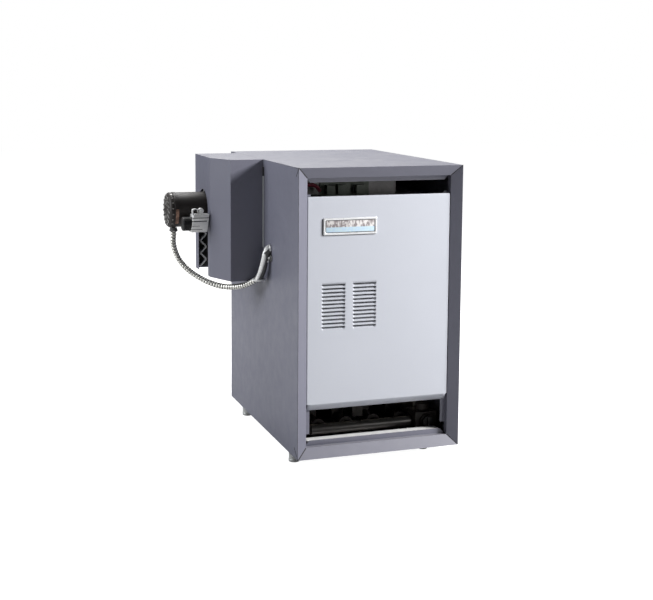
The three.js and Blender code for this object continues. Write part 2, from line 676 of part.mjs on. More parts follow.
// Tubular burner: a flared air inlet, a throat and a long flat-topped flame tube.
function burner(x) {
  const venturi = turned('y', [x, MANIFOLD_Z], [
    [0, 146], [19, 146], [12, 172], [15, 205], [15, 214], [0, 214],
  ], 12);
  const flameTube = (inset, from, to) => {
    const half = 16 - inset;
    const shape = new THREE.Shape();
    shape.moveTo(x - half, MANIFOLD_Z + 26 - inset);
    shape.lineTo(x - half, MANIFOLD_Z);
    shape.absarc(x, MANIFOLD_Z, half, Math.PI, Math.PI * 2, false);
    shape.lineTo(x + half, MANIFOLD_Z + 26 - inset);
    return extrudeShape(shape, 'y', from, to, 6);
  };
  const inlet = rod('y', [x, MANIFOLD_Z], 10, 144, 215, 8);
  const slots = [];
  const slotCount = 7;
  for (let i = 0; i < slotCount; i += 1) {
    const y = 226 + i * 41;
    slots.push(block([x - 6, y, MANIFOLD_Z + 20], [x + 6, y + 26, MANIFOLD_Z + 28]));
  }
  return cut(venturi.add(flameTube(0, 210, 520)), [flameTube(2, 212, 518), inlet, ...slots]);
}

function addGasTrain() {
  for (let i = 0; i < BURNER_COUNT; i += 1) {
    add(`burner_${i + 1}`, burner(burnerX(i)), aluminised);
  }
  const centre = [MANIFOLD_Y, MANIFOLD_Z];
  const pipe = rod('x', centre, MANIFOLD_RADIUS, 72, VALVE_LEFT - GAP);
  const spuds = [];
  for (let i = 0; i < BURNER_COUNT; i += 1) {
    spuds.push(rod('y', [burnerX(i), MANIFOLD_Z], 6, MANIFOLD_Y, 143, 8));
  }
  add('gas_manifold', join([pipe, ...spuds]), ironPipe);

  const body = block([VALVE_LEFT, 92, 12], [VALVE_RIGHT, 148, 66]);
  const turret = rod('z', [382, 120], 18, 60, 84);
  const boss = rod('y', [382, 44], 17, 86, 93);
  add('gas_valve', join([body, turret, boss]), blackPaint);
  const knobGrip = block([379.5, 70, 30], [384.5, 78, 58]);
  const knob = rod('y', [382, 44], 14, 76, 86 - GAP);
  add('gas_valve_knob', knob.add(knobGrip), blackPlastic);
  const inlet = rod('x', centre, 10.65, VALVE_RIGHT + GAP, WIDTH - 3);
  add('gas_inlet_nipple', inlet, ironPipe);

  const restFoot = block([46, 524, 2.5], [WIDTH - 46, 540, 4]);
  const rest = block([46, 524, 2.5], [WIDTH - 46, 525.5, 96]);
  add('burner_rest', rest.add(restFoot), galvanised);

  const igniterX = MIDDLE;
  const ceramic = rod('y', [igniterX, 70], 5, 158, 240, 8);
  const bracket = block([igniterX - 14, 160, 50], [igniterX + 14, 161.5, 90]);
  const tip = block([igniterX - 1, 238, 68.5], [igniterX + 18, 242, 71.5]);
  add('spark_igniter', join([ceramic, bracket, tip]), fibreBoard);
  const sensor = block([120, 158, 84], [152, 161.5, 112]).add(rod('y', [136, 98], 9, 150, 160, 12));
  add('rollout_switch', sensor, blackPlastic);
}

// --------------------------------------------------------------------- controls

function addControls() {
  const bracketPath = [[PANEL_Y - 60, 566], [PANEL_Y, 566], [PANEL_Y, 690]];
  add('control_bracket', folded(bracketPath, -SHEET, 'x', 40, 312), galvanised);
  const back = PANEL_Y - GAP;

  const board = block([104, back - 3, 590], [236, back, 676]);
  const relays = [116, 146, 196].map((x) => block([x, back - 22, 640], [x + 22, back - 2, 664]));
  const header = block([118, back - 14, 600], [222, back - 2, 612]);
  add('control_module', join([board, header, ...relays]), greenBoard);

  const core = block([250, 98, 574], [306, back, 632]);
  const coil = block([258, 92, 584], [298, 100, 622]);
  add('transformer', core.add(coil), copper);

  const buttonWell = rod('y', [70, 586], 6, 100, 112);
  add('limit_control', block([44, 104, 574], [96, back, 640]).subtract(buttonWell), blackPlastic);
  const dial = turned('y', [70, 614], [[0, 92], [14, 92], [16, 94], [16, 104 - GAP], [0, 104 - GAP]], 16);
  const pointer = block([69, 90.5, 614], [71, 93, 627]);
  add('limit_dial', dial.add(pointer), redPlastic);
  add('reset_button', rod('y', [70, 586], 5, 96, 104 - GAP, 12), redPlastic);

  const loom = new THREE.CatmullRomCurve3([
    [98, 132, 650], [86, 128, 664], [66, 126, 668], [48, 128, 660], [36, 132, 636],
    [31, 138, 590], [28, 146, 530], [22, 170, 496], [16, 206, 486], [13, 238, 484],
  ].map((point) => new THREE.Vector3(...point)), false, 'centripetal');
  add('wiring_loom', tube(loom, 5, 8, 22), maroonWire);
}

addJacket();
addFeet();
addDoor();
addCover();
addInducer();
addMotor();
addMotorWiring();
addBlowerBrace();
addConduit();
addElbow();
addHeatExchanger();
addGasTrain();
addControls();

// Origin on the floor, at the centre of the outline from the motor's end cap to
// the right side, and from the front to the ends of the rear pipes.
boiler.position.set(-(WIDTH + CAP_FAR) / 2, -PIPE_END / 2, FOOT_HEIGHT);

export default boiler;
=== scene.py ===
"""Gas-fired hot-water boiler in a sheet-metal jacket: its finished surfaces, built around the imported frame.

Shapes are worked out in the cabinet's own millimetres (X across the front, Y to the
back, Z up, from the jacket's front-left-bottom corner) and placed in metres at the end.
"""

import json
import math

import bmesh
import bpy
import numpy as np
from mathutils import Matrix, Vector

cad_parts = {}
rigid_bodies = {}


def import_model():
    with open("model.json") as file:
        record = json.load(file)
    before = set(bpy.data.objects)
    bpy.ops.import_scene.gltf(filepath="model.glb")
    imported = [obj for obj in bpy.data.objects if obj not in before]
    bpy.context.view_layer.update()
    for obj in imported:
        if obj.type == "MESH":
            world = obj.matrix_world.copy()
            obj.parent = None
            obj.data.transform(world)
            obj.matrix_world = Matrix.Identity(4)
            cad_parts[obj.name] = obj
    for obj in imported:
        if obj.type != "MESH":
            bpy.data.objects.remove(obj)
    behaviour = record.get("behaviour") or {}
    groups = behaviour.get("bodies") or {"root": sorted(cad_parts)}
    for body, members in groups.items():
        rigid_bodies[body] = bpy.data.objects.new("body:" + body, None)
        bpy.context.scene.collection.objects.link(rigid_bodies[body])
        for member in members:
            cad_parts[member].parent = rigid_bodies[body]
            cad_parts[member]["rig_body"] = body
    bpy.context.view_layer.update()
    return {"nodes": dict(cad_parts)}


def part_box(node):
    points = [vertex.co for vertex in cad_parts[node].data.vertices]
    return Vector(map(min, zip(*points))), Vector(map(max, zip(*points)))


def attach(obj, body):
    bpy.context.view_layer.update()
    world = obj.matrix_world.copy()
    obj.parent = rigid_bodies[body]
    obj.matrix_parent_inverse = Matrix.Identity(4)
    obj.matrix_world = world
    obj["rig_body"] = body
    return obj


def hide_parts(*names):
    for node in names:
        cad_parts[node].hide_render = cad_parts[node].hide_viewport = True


bl_info = {
    "name": "Gas Boiler Surfaces",
    "version": (1, 0, 0),
    "blender": (4, 5, 0),
    "location": "View3D > Sidebar > Boiler",
    "description": "Builds the jacket, inducer, conduit, burners and controls of a gas boiler",
    "category": "Add Mesh",
}

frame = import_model()

# ---------------------------------------------------------------- frame sizes

MM = 0.001  # metres
ORIGIN = np.array(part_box("left_side_panel")[0])


def node_mm(name):
    """Lowest and highest corner of a CAD node, in cabinet millimetres."""
    low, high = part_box(name)
    return (np.array(low) - ORIGIN) / MM, (np.array(high) - ORIGIN) / MM


WIDTH, _, HEIGHT = node_mm("top_panel")[1]
BEVEL_WIDTH, BEVEL_DEPTH = 26.0, 15.0
DOOR_LOW, DOOR_HIGH = node_mm("front_door")
DOOR_SHEET_BOTTOM = DOOR_LOW[2] + 16
COVER_LOW, COVER_HIGH = node_mm("inducer_cover")
CAN_LOW, CAN_HIGH = node_mm("motor_can")
MOTOR_AXIS = ((CAN_LOW + CAN_HIGH) / 2)[1:]
MOTOR_RADIUS = (CAN_HIGH - CAN_LOW)[2] / 2
CAP_LOW, CAP_HIGH = node_mm("motor_end_cap")

# The conduit's centre line, as the frame holds it: down from the motor, forward
# under the side cover and up into the elbow on the jacket.
CONDUIT_POINTS = [
    (-204, 473, 520.7), (-204, 473, 511), (-205.5, 471, 487), (-202, 466, 465),
    (-194.5, 459, 444), (-182.5, 448.5, 425.5), (-166, 435, 409), (-147, 419.5, 395.5),
    (-127, 402, 385), (-106, 383.5, 378), (-86.5, 364, 376), (-68.5, 342, 378.5),
    (-53.5, 318, 384.5), (-40.5, 298, 393.5), (-29.50, 282.40, 403.42), (-25.15, 277.18, 408.81),
]
ELBOW_WALL = np.array((-0.3, 246.0, 484.0))

WELD = 2e-6  # metres: points nearer than this are one
CREASE = 32  # degrees: a sharper fold is shaded as an edge

# ------------------------------------------------------------- settings shown


def paint_setting(name, description, default):
    """Colour of an enamel, as a setting."""
    return bpy.props.FloatVectorProperty(name=name, description=description, default=default,
                                         subtype="COLOR", size=3, min=0, max=1)


class BoilerJacketSettings(bpy.types.PropertyGroup):
    """The jacket's colour"""
    paint: paint_setting("Jacket Paint", "Colour of the dark enamel on the jacket and the side cover",
                         (0.154, 0.156, 0.200))


class BoilerDoorSettings(bpy.types.PropertyGroup):
    """The door's colour and its louvres"""
    paint: paint_setting("Door Paint", "Colour of the light enamel on the lift-off door",
                         (0.480, 0.500, 0.560))
    louvre_depth: bpy.props.FloatProperty(
        name="Louvre Depth", description="How far each louvre is pressed in, in millimetres",
        default=5.0, min=2, max=8)
    louvre_rows: bpy.props.IntProperty(
        name="Louvre Rows", description="Number of louvres in each of the two columns",
        default=12, min=1, max=12)


class BoilerMotorSettings(bpy.types.PropertyGroup):
    """The motor's colour"""
    paint: paint_setting("Motor Paint", "Colour of the enamel on the draft inducer's motor",
                         (0.022, 0.017, 0.015))


class BoilerConduitSettings(bpy.types.PropertyGroup):
    """The conduit's size and its ridges"""
    diameter: bpy.props.FloatProperty(
        name="Diameter", description="Outside diameter of the armoured conduit", unit="LENGTH",
        default=0.015, min=0.01, max=0.02)
    ridge_pitch: bpy.props.FloatProperty(
        name="Ridge Pitch", description="Distance between two turns of the steel strip, in millimetres",
        default=8.0, min=3, max=10)


class BoilerStageSettings(bpy.types.PropertyGroup):
    """The lights, the surroundings and the floor"""
    key_power: bpy.props.FloatProperty(
        name="Key Light", description="Power of the soft light at the front right", unit="POWER",
        default=223, min=0, max=2000)
    fill_power: bpy.props.FloatProperty(
        name="Fill Light", description="Power of the wide light at the left", unit="POWER",
        default=88, min=0, max=2000)
    front_power: bpy.props.FloatProperty(
        name="Front Light", description="Power of the low light in front, which reaches into the openings",
        unit="POWER", default=12, min=0, max=500)
    back_power: bpy.props.FloatProperty(
        name="Back Light", description="Power of the wide light above and behind", unit="POWER",
        default=135, min=0, max=2000)
    ambient: bpy.props.FloatProperty(
        name="Ambient", description="Brightness of the surroundings that light the boiler from all round",
        default=0.040, min=0, max=2)
    floor_glow: bpy.props.FloatProperty(
        name="Floor Glow", description="Light that the floor adds where the camera sees it, to run to white",
        default=0.98, min=0, max=1)


SETTINGS = {
    "boiler_jacket": BoilerJacketSettings, "boiler_door": BoilerDoorSettings,
    "boiler_motor": BoilerMotorSettings, "boiler_conduit": BoilerConduitSettings,
    "boiler_stage": BoilerStageSettings,
}

# ------------------------------------------------------------ shape functions


def grid(points, wrap_u=False, wrap_v=False):
    """Quads over an (nu, nv, 3) array of points; a wrapped direction closes on itself."""
    nu, nv = points.shape[:2]
    i = np.arange(nu if wrap_u else nu - 1)[:, None]
    j = np.arange(nv if wrap_v else nv - 1)[None, :]
    i_next, j_next = (i + 1) % nu, (j + 1) % nv
    quads = np.stack([i * nv + j, i_next * nv + j, i_next * nv + j_next, i * nv + j_next], -1)
    return points.reshape(-1, 3), quads.reshape(-1, 4)


def loft(loops):
    """Closed solid through an (n, m, 3) stack of closed loops, with a flat cap on each end loop."""
    verts, quads = grid(loops, wrap_v=True)
    count, around = loops.shape[:2]
    first = np.arange(around)[::-1]
    last = np.arange(around) + (count - 1) * around
    return verts, quads.tolist() + [first.tolist(), last.tolist()]


def listed(faces):
    """Faces as plain lists of vertex numbers."""
    return faces if isinstance(faces, list) else faces.tolist()


def merge(parts):
    """Several (vertices, faces) shapes as one."""
    verts, faces, start = [], [], 0
    for part_verts, part_faces in parts:
        verts.append(part_verts)
        faces += [[index + start for index in face] for face in listed(part_faces)]
        start += len(part_verts)
    return np.concatenate(verts), faces


def to_axes(u, v, w, axis):
    """Coordinates (u, v) across an axis and w along it, as x, y, z.

    (u, v) stand for (y, z) across x, for (x, z) across y and for (x, y) across z.
    """
    u, v, w = np.broadcast_arrays(u, v, w)
    return np.stack({"x": (w, u, v), "y": (u, w, v), "z": (u, v, w)}[axis], -1).astype(float)


def circle(count, start=0.0):
    """Angles of a closed circle of count points."""
    return start + np.linspace(0, 2 * math.pi, count, endpoint=False)


def turned(profile, centre, axis, around=32):
    """Surface of revolution: each (radius, distance) of the profile swept round the axis through centre."""
    profile = np.asarray(profile, float)
    angle = circle(around)[None, :]
    radius, along = profile[:, :1], profile[:, 1:]
    loops = to_axes(centre[0] + radius * np.cos(angle), centre[1] + radius * np.sin(angle), along, axis)
    return grid(loops, wrap_v=True)


def rounded(points, radius, steps=5):
    """Polyline with each corner replaced by an arc that is tangent to both of its sides."""
    most_of_side = 0.48  # so that the arcs at a side's two ends don't meet
    points = [np.asarray(p, float) for p in points]
    out = [points[0][None]]
    for before, corner, after in zip(points, points[1:], points[2:]):
        u, v = before - corner, after - corner
        reach = most_of_side * min(np.linalg.norm(u), np.linalg.norm(v))
        u, v = u / np.linalg.norm(u), v / np.linalg.norm(v)
        half = 0.5 * math.acos(np.clip(u @ v, -1, 1))
        cut = min(radius / math.tan(half), reach)
        middle = corner + (u + v) / np.linalg.norm(u + v) * cut / math.cos(half)
        p, q = corner + u * cut - middle, corner + v * cut - middle
        omega = math.pi - 2 * half
        k = np.linspace(0, 1, steps + 1)[:, None]
        out.append(middle + (np.sin((1 - k) * omega) * p + np.sin(k * omega) * q) / math.sin(omega))
    out.append(points[-1][None])
    return np.concatenate(out)


def moved_sideways(line, distance):
    """Copy of a 2-D line moved to its left by distance, mitred at its corners."""
    along = np.diff(line, axis=0)
    along /= np.linalg.norm(along, axis=1, keepdims=True)
    normal = np.stack([-along[:, 1], along[:, 0]], -1)
    before = np.concatenate([normal[:1], normal])
    after = np.concatenate([normal, normal[-1:]])
    return line + distance * (before + after) / (1 + (before * after).sum(1, keepdims=True))


def bent_sheet(line, thickness, low, high, axis):
    """Folded sheet: a line and its copy one thickness to the left, carried along an axis from low to high."""
    loop = np.concatenate([line, moved_sideways(line, thickness)[::-1]])
    rows = np.stack([to_axes(loop[:, 0], loop[:, 1], end, axis) for end in (low, high)])
    verts, quads = grid(rows, wrap_v=True)
    i = np.arange(len(line) - 1)
    around = len(loop)
    strip = np.stack([i, i + 1, around - 2 - i, around - 1 - i], -1)
    return verts, np.concatenate([quads, strip, strip + around])


def outline(half_u, half_v, corner, steps=5):
    """Rounded rectangle about zero: four quarter circles joined by straight sides."""
    corner = min(corner, half_u, half_v)
    quarter = np.linspace(0, math.pi / 2, steps + 1)
    angle = np.concatenate([quarter + k * math.pi / 2 for k in range(4)])
    sign_u = np.repeat([1, -1, -1, 1], steps + 1)
    sign_v = np.repeat([1, 1, -1, -1], steps + 1)
    return np.stack([sign_u * (half_u - corner) + corner * np.cos(angle),
                     sign_v * (half_v - corner) + corner * np.sin(angle)], -1)


def rounded_box(low, high, corner=2.0, edge=1.0, axis="y", steps=4):
    """Box with rounded corners across an axis; quarter rounds of radius edge join its sides to its faces."""
    order = {"x": (1, 2, 0), "y": (0, 2, 1), "z": (0, 1, 2)}[axis]
    low, high = np.asarray(low, float)[list(order)], np.asarray(high, float)[list(order)]
    middle, half = (low + high) / 2, (high - low) / 2
    angle = np.linspace(0, math.pi / 2, steps + 1)
    inset = edge * (1 - np.sin(angle))
    along = edge * (1 - np.cos(angle))
    stations = [(d, low[2] + a) for d, a in zip(inset, along)]
    stations += [(d, high[2] - a) for d, a in zip(inset[::-1], along[::-1])]
    loops = []
    for shrink, distance in stations:
        ring = outline(half[0] - shrink, half[1] - shrink, max(corner - shrink, 0.05), steps)
        loops.append(to_axes(middle[0] + ring[:, 0], middle[1] + ring[:, 1], distance, axis))
    return loft(np.stack(loops))


def spline(points, per_span):
    """Centripetal Catmull-Rom curve: each span blends the two arcs that its four nearest points give."""
    p = np.asarray(points, float)
    p = np.concatenate([2 * p[:1] - p[1:2], p, 2 * p[-1:] - p[-2:-1]])
    knot = np.concatenate([[0], np.cumsum(np.linalg.norm(np.diff(p, axis=0), axis=1) ** 0.5)])
    p0, p1, p2, p3 = (p[k:len(p) - 3 + k, None] for k in range(4))
    t0, t1, t2, t3 = (knot[k:len(p) - 3 + k, None, None] for k in range(4))
    t = t1 + (t2 - t1) * np.linspace(0, 1, per_span, endpoint=False)[None, :, None]
    a1 = ((t1 - t) * p0 + (t - t0) * p1) / (t1 - t0)
    a2 = ((t2 - t) * p1 + (t - t1) * p2) / (t2 - t1)
    a3 = ((t3 - t) * p2 + (t - t2) * p3) / (t3 - t2)
    b1 = ((t2 - t) * a1 + (t - t0) * a2) / (t2 - t0)
    b2 = ((t3 - t) * a2 + (t - t1) * a3) / (t3 - t1)
    curve = ((t2 - t) * b1 + (t - t1) * b2) / (t2 - t1)
    return np.concatenate([curve.reshape(-1, 3), p[-2:-1]])


def evenly(path, count):
    """The same path as count points at equal distances along it."""
    along = np.concatenate([[0], np.cumsum(np.linalg.norm(np.diff(path, axis=0), axis=1))])
    wanted = np.linspace(0, along[-1], count)
    return np.stack([np.interp(wanted, along, path[:, k]) for k in range(3)], -1)


def path_frames(path, upright):
    """Two unit vectors across a path: one square to the path and to upright, and one square to both."""
    tangent = np.gradient(path, axis=0)
    tangent /= np.linalg.norm(tangent, axis=1, keepdims=True)
    side = np.cross(tangent, upright)
    side /= np.linalg.norm(side, axis=1, keepdims=True)
    return side, np.cross(side, tangent)


def swept(path, upright, across, over):
    """Solid along a path: a section's across and over distances, laid on the path's two cross vectors.

    Each is an (m,) array, the same all along the path, or an (n, m) array, one row for each of its points.
    """
    side, up = path_frames(path, upright)
    across, over = np.atleast_2d(across), np.atleast_2d(over)
    loops = path[:, None] + side[:, None] * across[..., None] + up[:, None] * over[..., None]
    return loft(loops)


def hose(path, upright, radius, around=12):
    """Round tube along a path; the radius is one number or an (n, around) array."""
    angle = circle(around)[None, :]
    radius = np.broadcast_to(radius, (len(path), around))
    return swept(path, upright, radius * np.cos(angle), radius * np.sin(angle))


def hex_screw(head, outward, size, thick):
    """Hexagon head on a round flange: two stacked prisms along the outward direction from the point head."""
    head, outward = np.asarray(head, float), np.asarray(outward, float)
    helper = np.array((0, 0, 1.0)) if abs(outward[2]) < 0.9 else np.array((1.0, 0, 0))
    u = np.cross(outward, helper)
    u /= np.linalg.norm(u)
    v = np.cross(outward, u)

    def disc(radius, distance, around):
        """Ring of points square to the outward direction, at a distance along it."""
        angle = circle(around, 0.3)[:, None]
        return head + distance * outward + radius * (np.cos(angle) * u + np.sin(angle) * v)

    flange = loft(np.stack([disc(size * 1.25, 0, 12), disc(size * 1.25, 0.6, 12), disc(size * 1.1, 1.0, 12)]))
    hexagon = loft(np.stack([disc(size, 0.9, 6), disc(size, thick - 0.4, 6), disc(size * 0.85, thick, 6)]))
    return merge([flange, hexagon])


# CAD nodes that keep their shape, by group, in the order they are made: the nodes' names, their
# slot, finish and bevel width in millimetres and, where it isn't 2, the bevel's number of steps.
CARRIED = {
    "jacket": (
        ("left_side_panel right_side_panel top_panel rear_panel front_sill", "jacket_paint",
         "jacket enamel", 0.7),
        ("base_ledge", "galvanised", "light ledge", 0.5),
        ("base_tray", "galvanised", "galvanised sheet", 0.4)),
    "inducer": (
        ("inducer_cover", "jacket_paint", "jacket enamel", 0.8),
        ("inducer_scroll vent_collar inducer_wheel", "aluminised", "aluminised sheet", 0.5),
        ("inducer_shaft motor_mount_plate", "zinc", "zinc plate", 0.5),
        ("pressure_switch", "black_plastic", "black plastic", 0.5)),
    "heat exchanger": (
        ("section_1 section_2 section_3 section_4 section_5", "cast_iron", "cast iron", 1.6, 3),
        ("tie_rod_front tie_rod_rear", "zinc", "zinc plate", 0.4),
        ("flue_collector", "aluminised", "inner sheet", 0.8),
        ("combustion_chamber", "fibre_board", "fibre board", 1.5),
        ("supply_pipe return_pipe", "iron_pipe", "black pipe", 0.6)),
    "gas train": (
        # The burners, their rest and the igniter take near-black finishes: painted shade inside the base.
        ("burner_1 burner_2 burner_3 burner_4", "aluminised", "burner steel", 0.5),
        ("gas_manifold", "iron_pipe", "satin pipe", 0.5),
        ("gas_valve", "black_paint", "motor enamel", 1.2),
        ("gas_valve_knob", "black_plastic", "black plastic", 0.8),
        ("gas_inlet_nipple", "iron_pipe", "black pipe", 0.6),
        ("burner_rest", "galvanised", "burner steel", 0.5),
        ("spark_igniter", "fibre_board", "sooted ceramic", 0.5),
        ("rollout_switch", "black_plastic", "black plastic", 0.5)),
    "controls": (
        ("control_bracket", "galvanised", "inner sheet", 0.4),
        ("control_module", "green_board", "circuit board", 0.4),
        ("transformer", "copper", "varnished coil", 0.8),
        ("limit_control", "black_plastic", "black plastic", 0.8),
        ("limit_dial", "red_plastic", "red plastic", 0.6),
        ("reset_button", "red_plastic", "red plastic", 0.5)),
}

# -------------------------------------------------------------- making pieces


def showing(name, mesh, body, finish_name, smooth_angle=CREASE, replaces=()):
    """Object for a finished mesh: shaded, in its finish, and put on its body."""
    mesh.shade_smooth()
    mesh.set_sharp_from_angle(angle=math.radians(smooth_angle))
    mesh.materials.clear()
    mesh.materials.append(FINISHES[finish_name])
    obj = bpy.data.objects.new(name, mesh)
    bpy.context.scene.collection.objects.link(obj)
    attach(obj, body)
    if replaces:
        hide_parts(*replaces)
    return obj


def piece(name, shape, body, finish_name, closed=True, smooth_angle=CREASE, thickness=None,
          replaces=()):
    """Piece from a shape in cabinet millimetres, placed in metres; a thickness makes a sheet of it."""
    verts, faces = shape
    mesh = bpy.data.meshes.new(name)
    mesh.from_pydata((verts * MM + ORIGIN).tolist(), [], listed(faces))
    edit = bmesh.new()
    edit.from_mesh(mesh)
    bmesh.ops.remove_doubles(edit, verts=edit.verts, dist=WELD)
    if closed:
        bmesh.ops.recalc_face_normals(edit, faces=edit.faces)
    edit.to_mesh(mesh)
    edit.free()
    mesh.validate()
    obj = showing(name, mesh, body, finish_name, smooth_angle, replaces)
    if thickness:
        wall = obj.modifiers.new("wall", "SOLIDIFY")
        wall.thickness = thickness * MM
        wall.offset = -1
    return obj


def softened(node, slot, finish_name, width, segments=2):
    """A CAD node's own shape with its edges rounded over: a merged copy with a bevel, in the node's place."""
    source = frame["nodes"][node]
    mesh = source.data.copy()
    mesh.name = node + "_finish"
    edit = bmesh.new()
    edit.from_mesh(mesh)
    bmesh.ops.remove_doubles(edit, verts=edit.verts, dist=WELD)
    bmesh.ops.dissolve_limit(edit, angle_limit=math.radians(1), verts=edit.verts, edges=edit.edges)
    edit.to_mesh(mesh)
    edit.free()
    obj = showing(mesh.name, mesh, source["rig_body"], finish_name, replaces=(node,))
    bevel = obj.modifiers.new("edges", "BEVEL")
    bevel.width, bevel.segments, bevel.limit_method = width * MM, segments, "ANGLE"
    bevel.angle_limit = math.radians(CREASE)
    bevel.harden_normals = True


def carry(group):
    """Every CAD node of a group, softened and in its finish."""
    for names, *looks in CARRIED[group]:
        for node in names.split():
            softened(node, *looks)


# ------------------------------------------------------------------- finishes


def empty_tree(owner):
    """The node tree of a material or a world, emptied."""
    owner.use_nodes = True
    owner.node_tree.nodes.clear()
    return owner.node_tree


def add(tree, kind, inputs=None, **settings):
    """Shader node of a kind, with its settings, and its inputs given as values or as sockets to link."""
    made = tree.nodes.new("ShaderNode" + kind)
    for key, value in settings.items():
        setattr(made, key, value)
    for key, value in (inputs or {}).items():
        if isinstance(value, bpy.types.NodeSocket):
            tree.links.new(value, made.inputs[key])
        else:
            made.inputs[key].default_value = value
    return made


def place(tree, group, inputs=None):
    """An effect as a node in a material."""
    return add(tree, "Group", inputs, node_tree=group).outputs


def effect(name, outputs, **inputs):
    """Empty shader group of numbers: its tree, its named inputs and a function that links its outputs."""
    tree = bpy.data.node_groups.new(name, "ShaderNodeTree")
    for label, value in inputs.items():
        tree.interface.new_socket(name=label, in_out="INPUT",
                                  socket_type="NodeSocketFloat").default_value = value
    for label in outputs:
        tree.interface.new_socket(name=label, in_out="OUTPUT", socket_type="NodeSocketFloat")
    given, out = tree.nodes.new("NodeGroupInput").outputs, tree.nodes.new("NodeGroupOutput").inputs

    def give(*sockets):
        """Link one socket to each output of the group."""
        for label, socket in zip(outputs, sockets):
            tree.links.new(socket, out[label])

    return tree, given, give


def ramp(tree, value, low, high, to_low=0.0, to_high=1.0):
    """Value taken from low..high to to_low..to_high, held at both ends."""
    return add(tree, "MapRange", {"Value": value, "From Min": low, "From Max": high, "To Min": to_low,
                                  "To Max": to_high}).outputs["Result"]


def maths(tree, operation, first, *others):
    """Numbers or sockets added, subtracted or multiplied in turn."""
    for other in others:
        first = add(tree, "Math", {0: first, 1: other}, operation=operation).outputs[0]
    return first


def mixed(tree, factor, a, b, blend="MIX"):
    """Two colours mixed by a factor."""
    return add(tree, "MixRGB", {"Fac": factor, "Color1": a, "Color2": b}, blend_type=blend).outputs["Color"]


def noise(tree, scale, detail=2.0, rough=0.5, stretch=(1, 1, 1)):
    """Cloud noise on object coordinates: scale in cells per metre, drawn out where stretch is small."""
    place_at = add(tree, "TexCoord").outputs["Object"]
    fitted = add(tree, "Mapping", {"Vector": place_at, "Scale": stretch}).outputs["Vector"]
    return add(tree, "TexNoise", {"Vector": fitted, "Scale": scale, "Detail": detail,
                                  "Roughness": rough}).outputs["Fac"]


def make_effects():
    """The effects that the finishes share, each a shader group of its own."""
    effects = {}

    # Edge mask: worn edges, and also painted highlight along the folds where the worn colour is light.
    tree, given, give = effect("Edge Wear And Highlight", ("Mask",), Radius=0.0014, Amount=0.5)
    plain = add(tree, "NewGeometry").outputs["Normal"]
    rolled = add(tree, "Bevel", {"Radius": given["Radius"]}, samples=4).outputs["Normal"]
    facing = add(tree, "VectorMath", {0: plain, 1: rolled}, operation="DOT_PRODUCT").outputs["Value"]
    edge = ramp(tree, facing, 0.985, 0.80)
    patchy = ramp(tree, noise(tree, 90, 4, 0.65), 0.42, 0.62)
    give(maths(tree, "MULTIPLY", edge, patchy, given["Amount"]))
    effects["edge_wear_and_highlight"] = tree

    tree, given, give = effect("Dust", ("Mask",), Amount=0.3)
    upward = add(tree, "SeparateXYZ", {0: add(tree, "NewGeometry").outputs["Normal"]}).outputs["Z"]
    lying = ramp(tree, upward, 0.35, 0.95)
    cloudy = ramp(tree, noise(tree, 22, 6, 0.62), 0.36, 0.74, 0.30, 0.80)
    give(maths(tree, "MULTIPLY", lying, cloudy, given["Amount"]))
    effects["dust"] = tree

    surface = ("Shade", "Sheen", "Height")
    tree, given, give = effect("Enamel Skin", surface, Tone=0.06)
    swing = maths(tree, "MULTIPLY", maths(tree, "SUBTRACT", noise(tree, 6, 3), 0.5), given["Tone"])
    speck = ramp(tree, noise(tree, 1400, 1), 0.30, 0.70, -0.02, 0.02)
    give(maths(tree, "ADD", swing, speck, 1.0), ramp(tree, noise(tree, 35, 4, 0.6), 0.3, 0.7, -0.05, 0.06),
         noise(tree, 420))
    effects["skin"] = tree

    tree, given, give = effect("Spangle", surface, Scale=140.0)
    place_at = add(tree, "TexCoord").outputs["Object"]
    ripple = add(tree, "TexNoise", {"Vector": place_at, "Scale": 60.0}).outputs["Color"]
    wobble = mixed(tree, 0.006, place_at, ripple)
    crystal = add(tree, "TexVoronoi", {"Vector": wobble, "Scale": given["Scale"]}).outputs["Color"]
    level = add(tree, "SeparateColor", {0: crystal}).outputs[0]
    give(ramp(tree, level, 0, 1, 0.86, 1.08), ramp(tree, level, 0, 1, -0.08, 0.10), level)
    effects["spangle"] = tree

    tree, given, give = effect("Brushed", surface, Scale=900.0)
    lines = noise(tree, given["Scale"], 3.0, stretch=(0.06, 0.06, 1))
    stain = noise(tree, 40, 5, 0.6)
    give(maths(tree, "MULTIPLY", ramp(tree, lines, 0.25, 0.75, 0.93, 1.05),
               ramp(tree, stain, 0.3, 0.75, 1.04, 0.88)),
         maths(tree, "ADD", ramp(tree, lines, 0.25, 0.75, -0.06, 0.08),
               ramp(tree, stain, 0.45, 0.75, 0, 0.12)),
         lines)
    effects["brushed"] = tree

    tree, given, give = effect("Grain", surface, Scale=500.0)
    sand = noise(tree, given["Scale"], 4.0, 0.6)
    blotch = noise(tree, 28, 5, 0.6)
    give(maths(tree, "MULTIPLY", ramp(tree, sand, 0.3, 0.7, 0.90, 1.08),
               ramp(tree, blotch, 0.3, 0.7, 1.12, 0.86)),
         ramp(tree, blotch, 0.3, 0.7, -0.06, 0.08), sand)
    effects["grain"] = tree
    return effects


EFFECTS, FINISHES = {}, {}


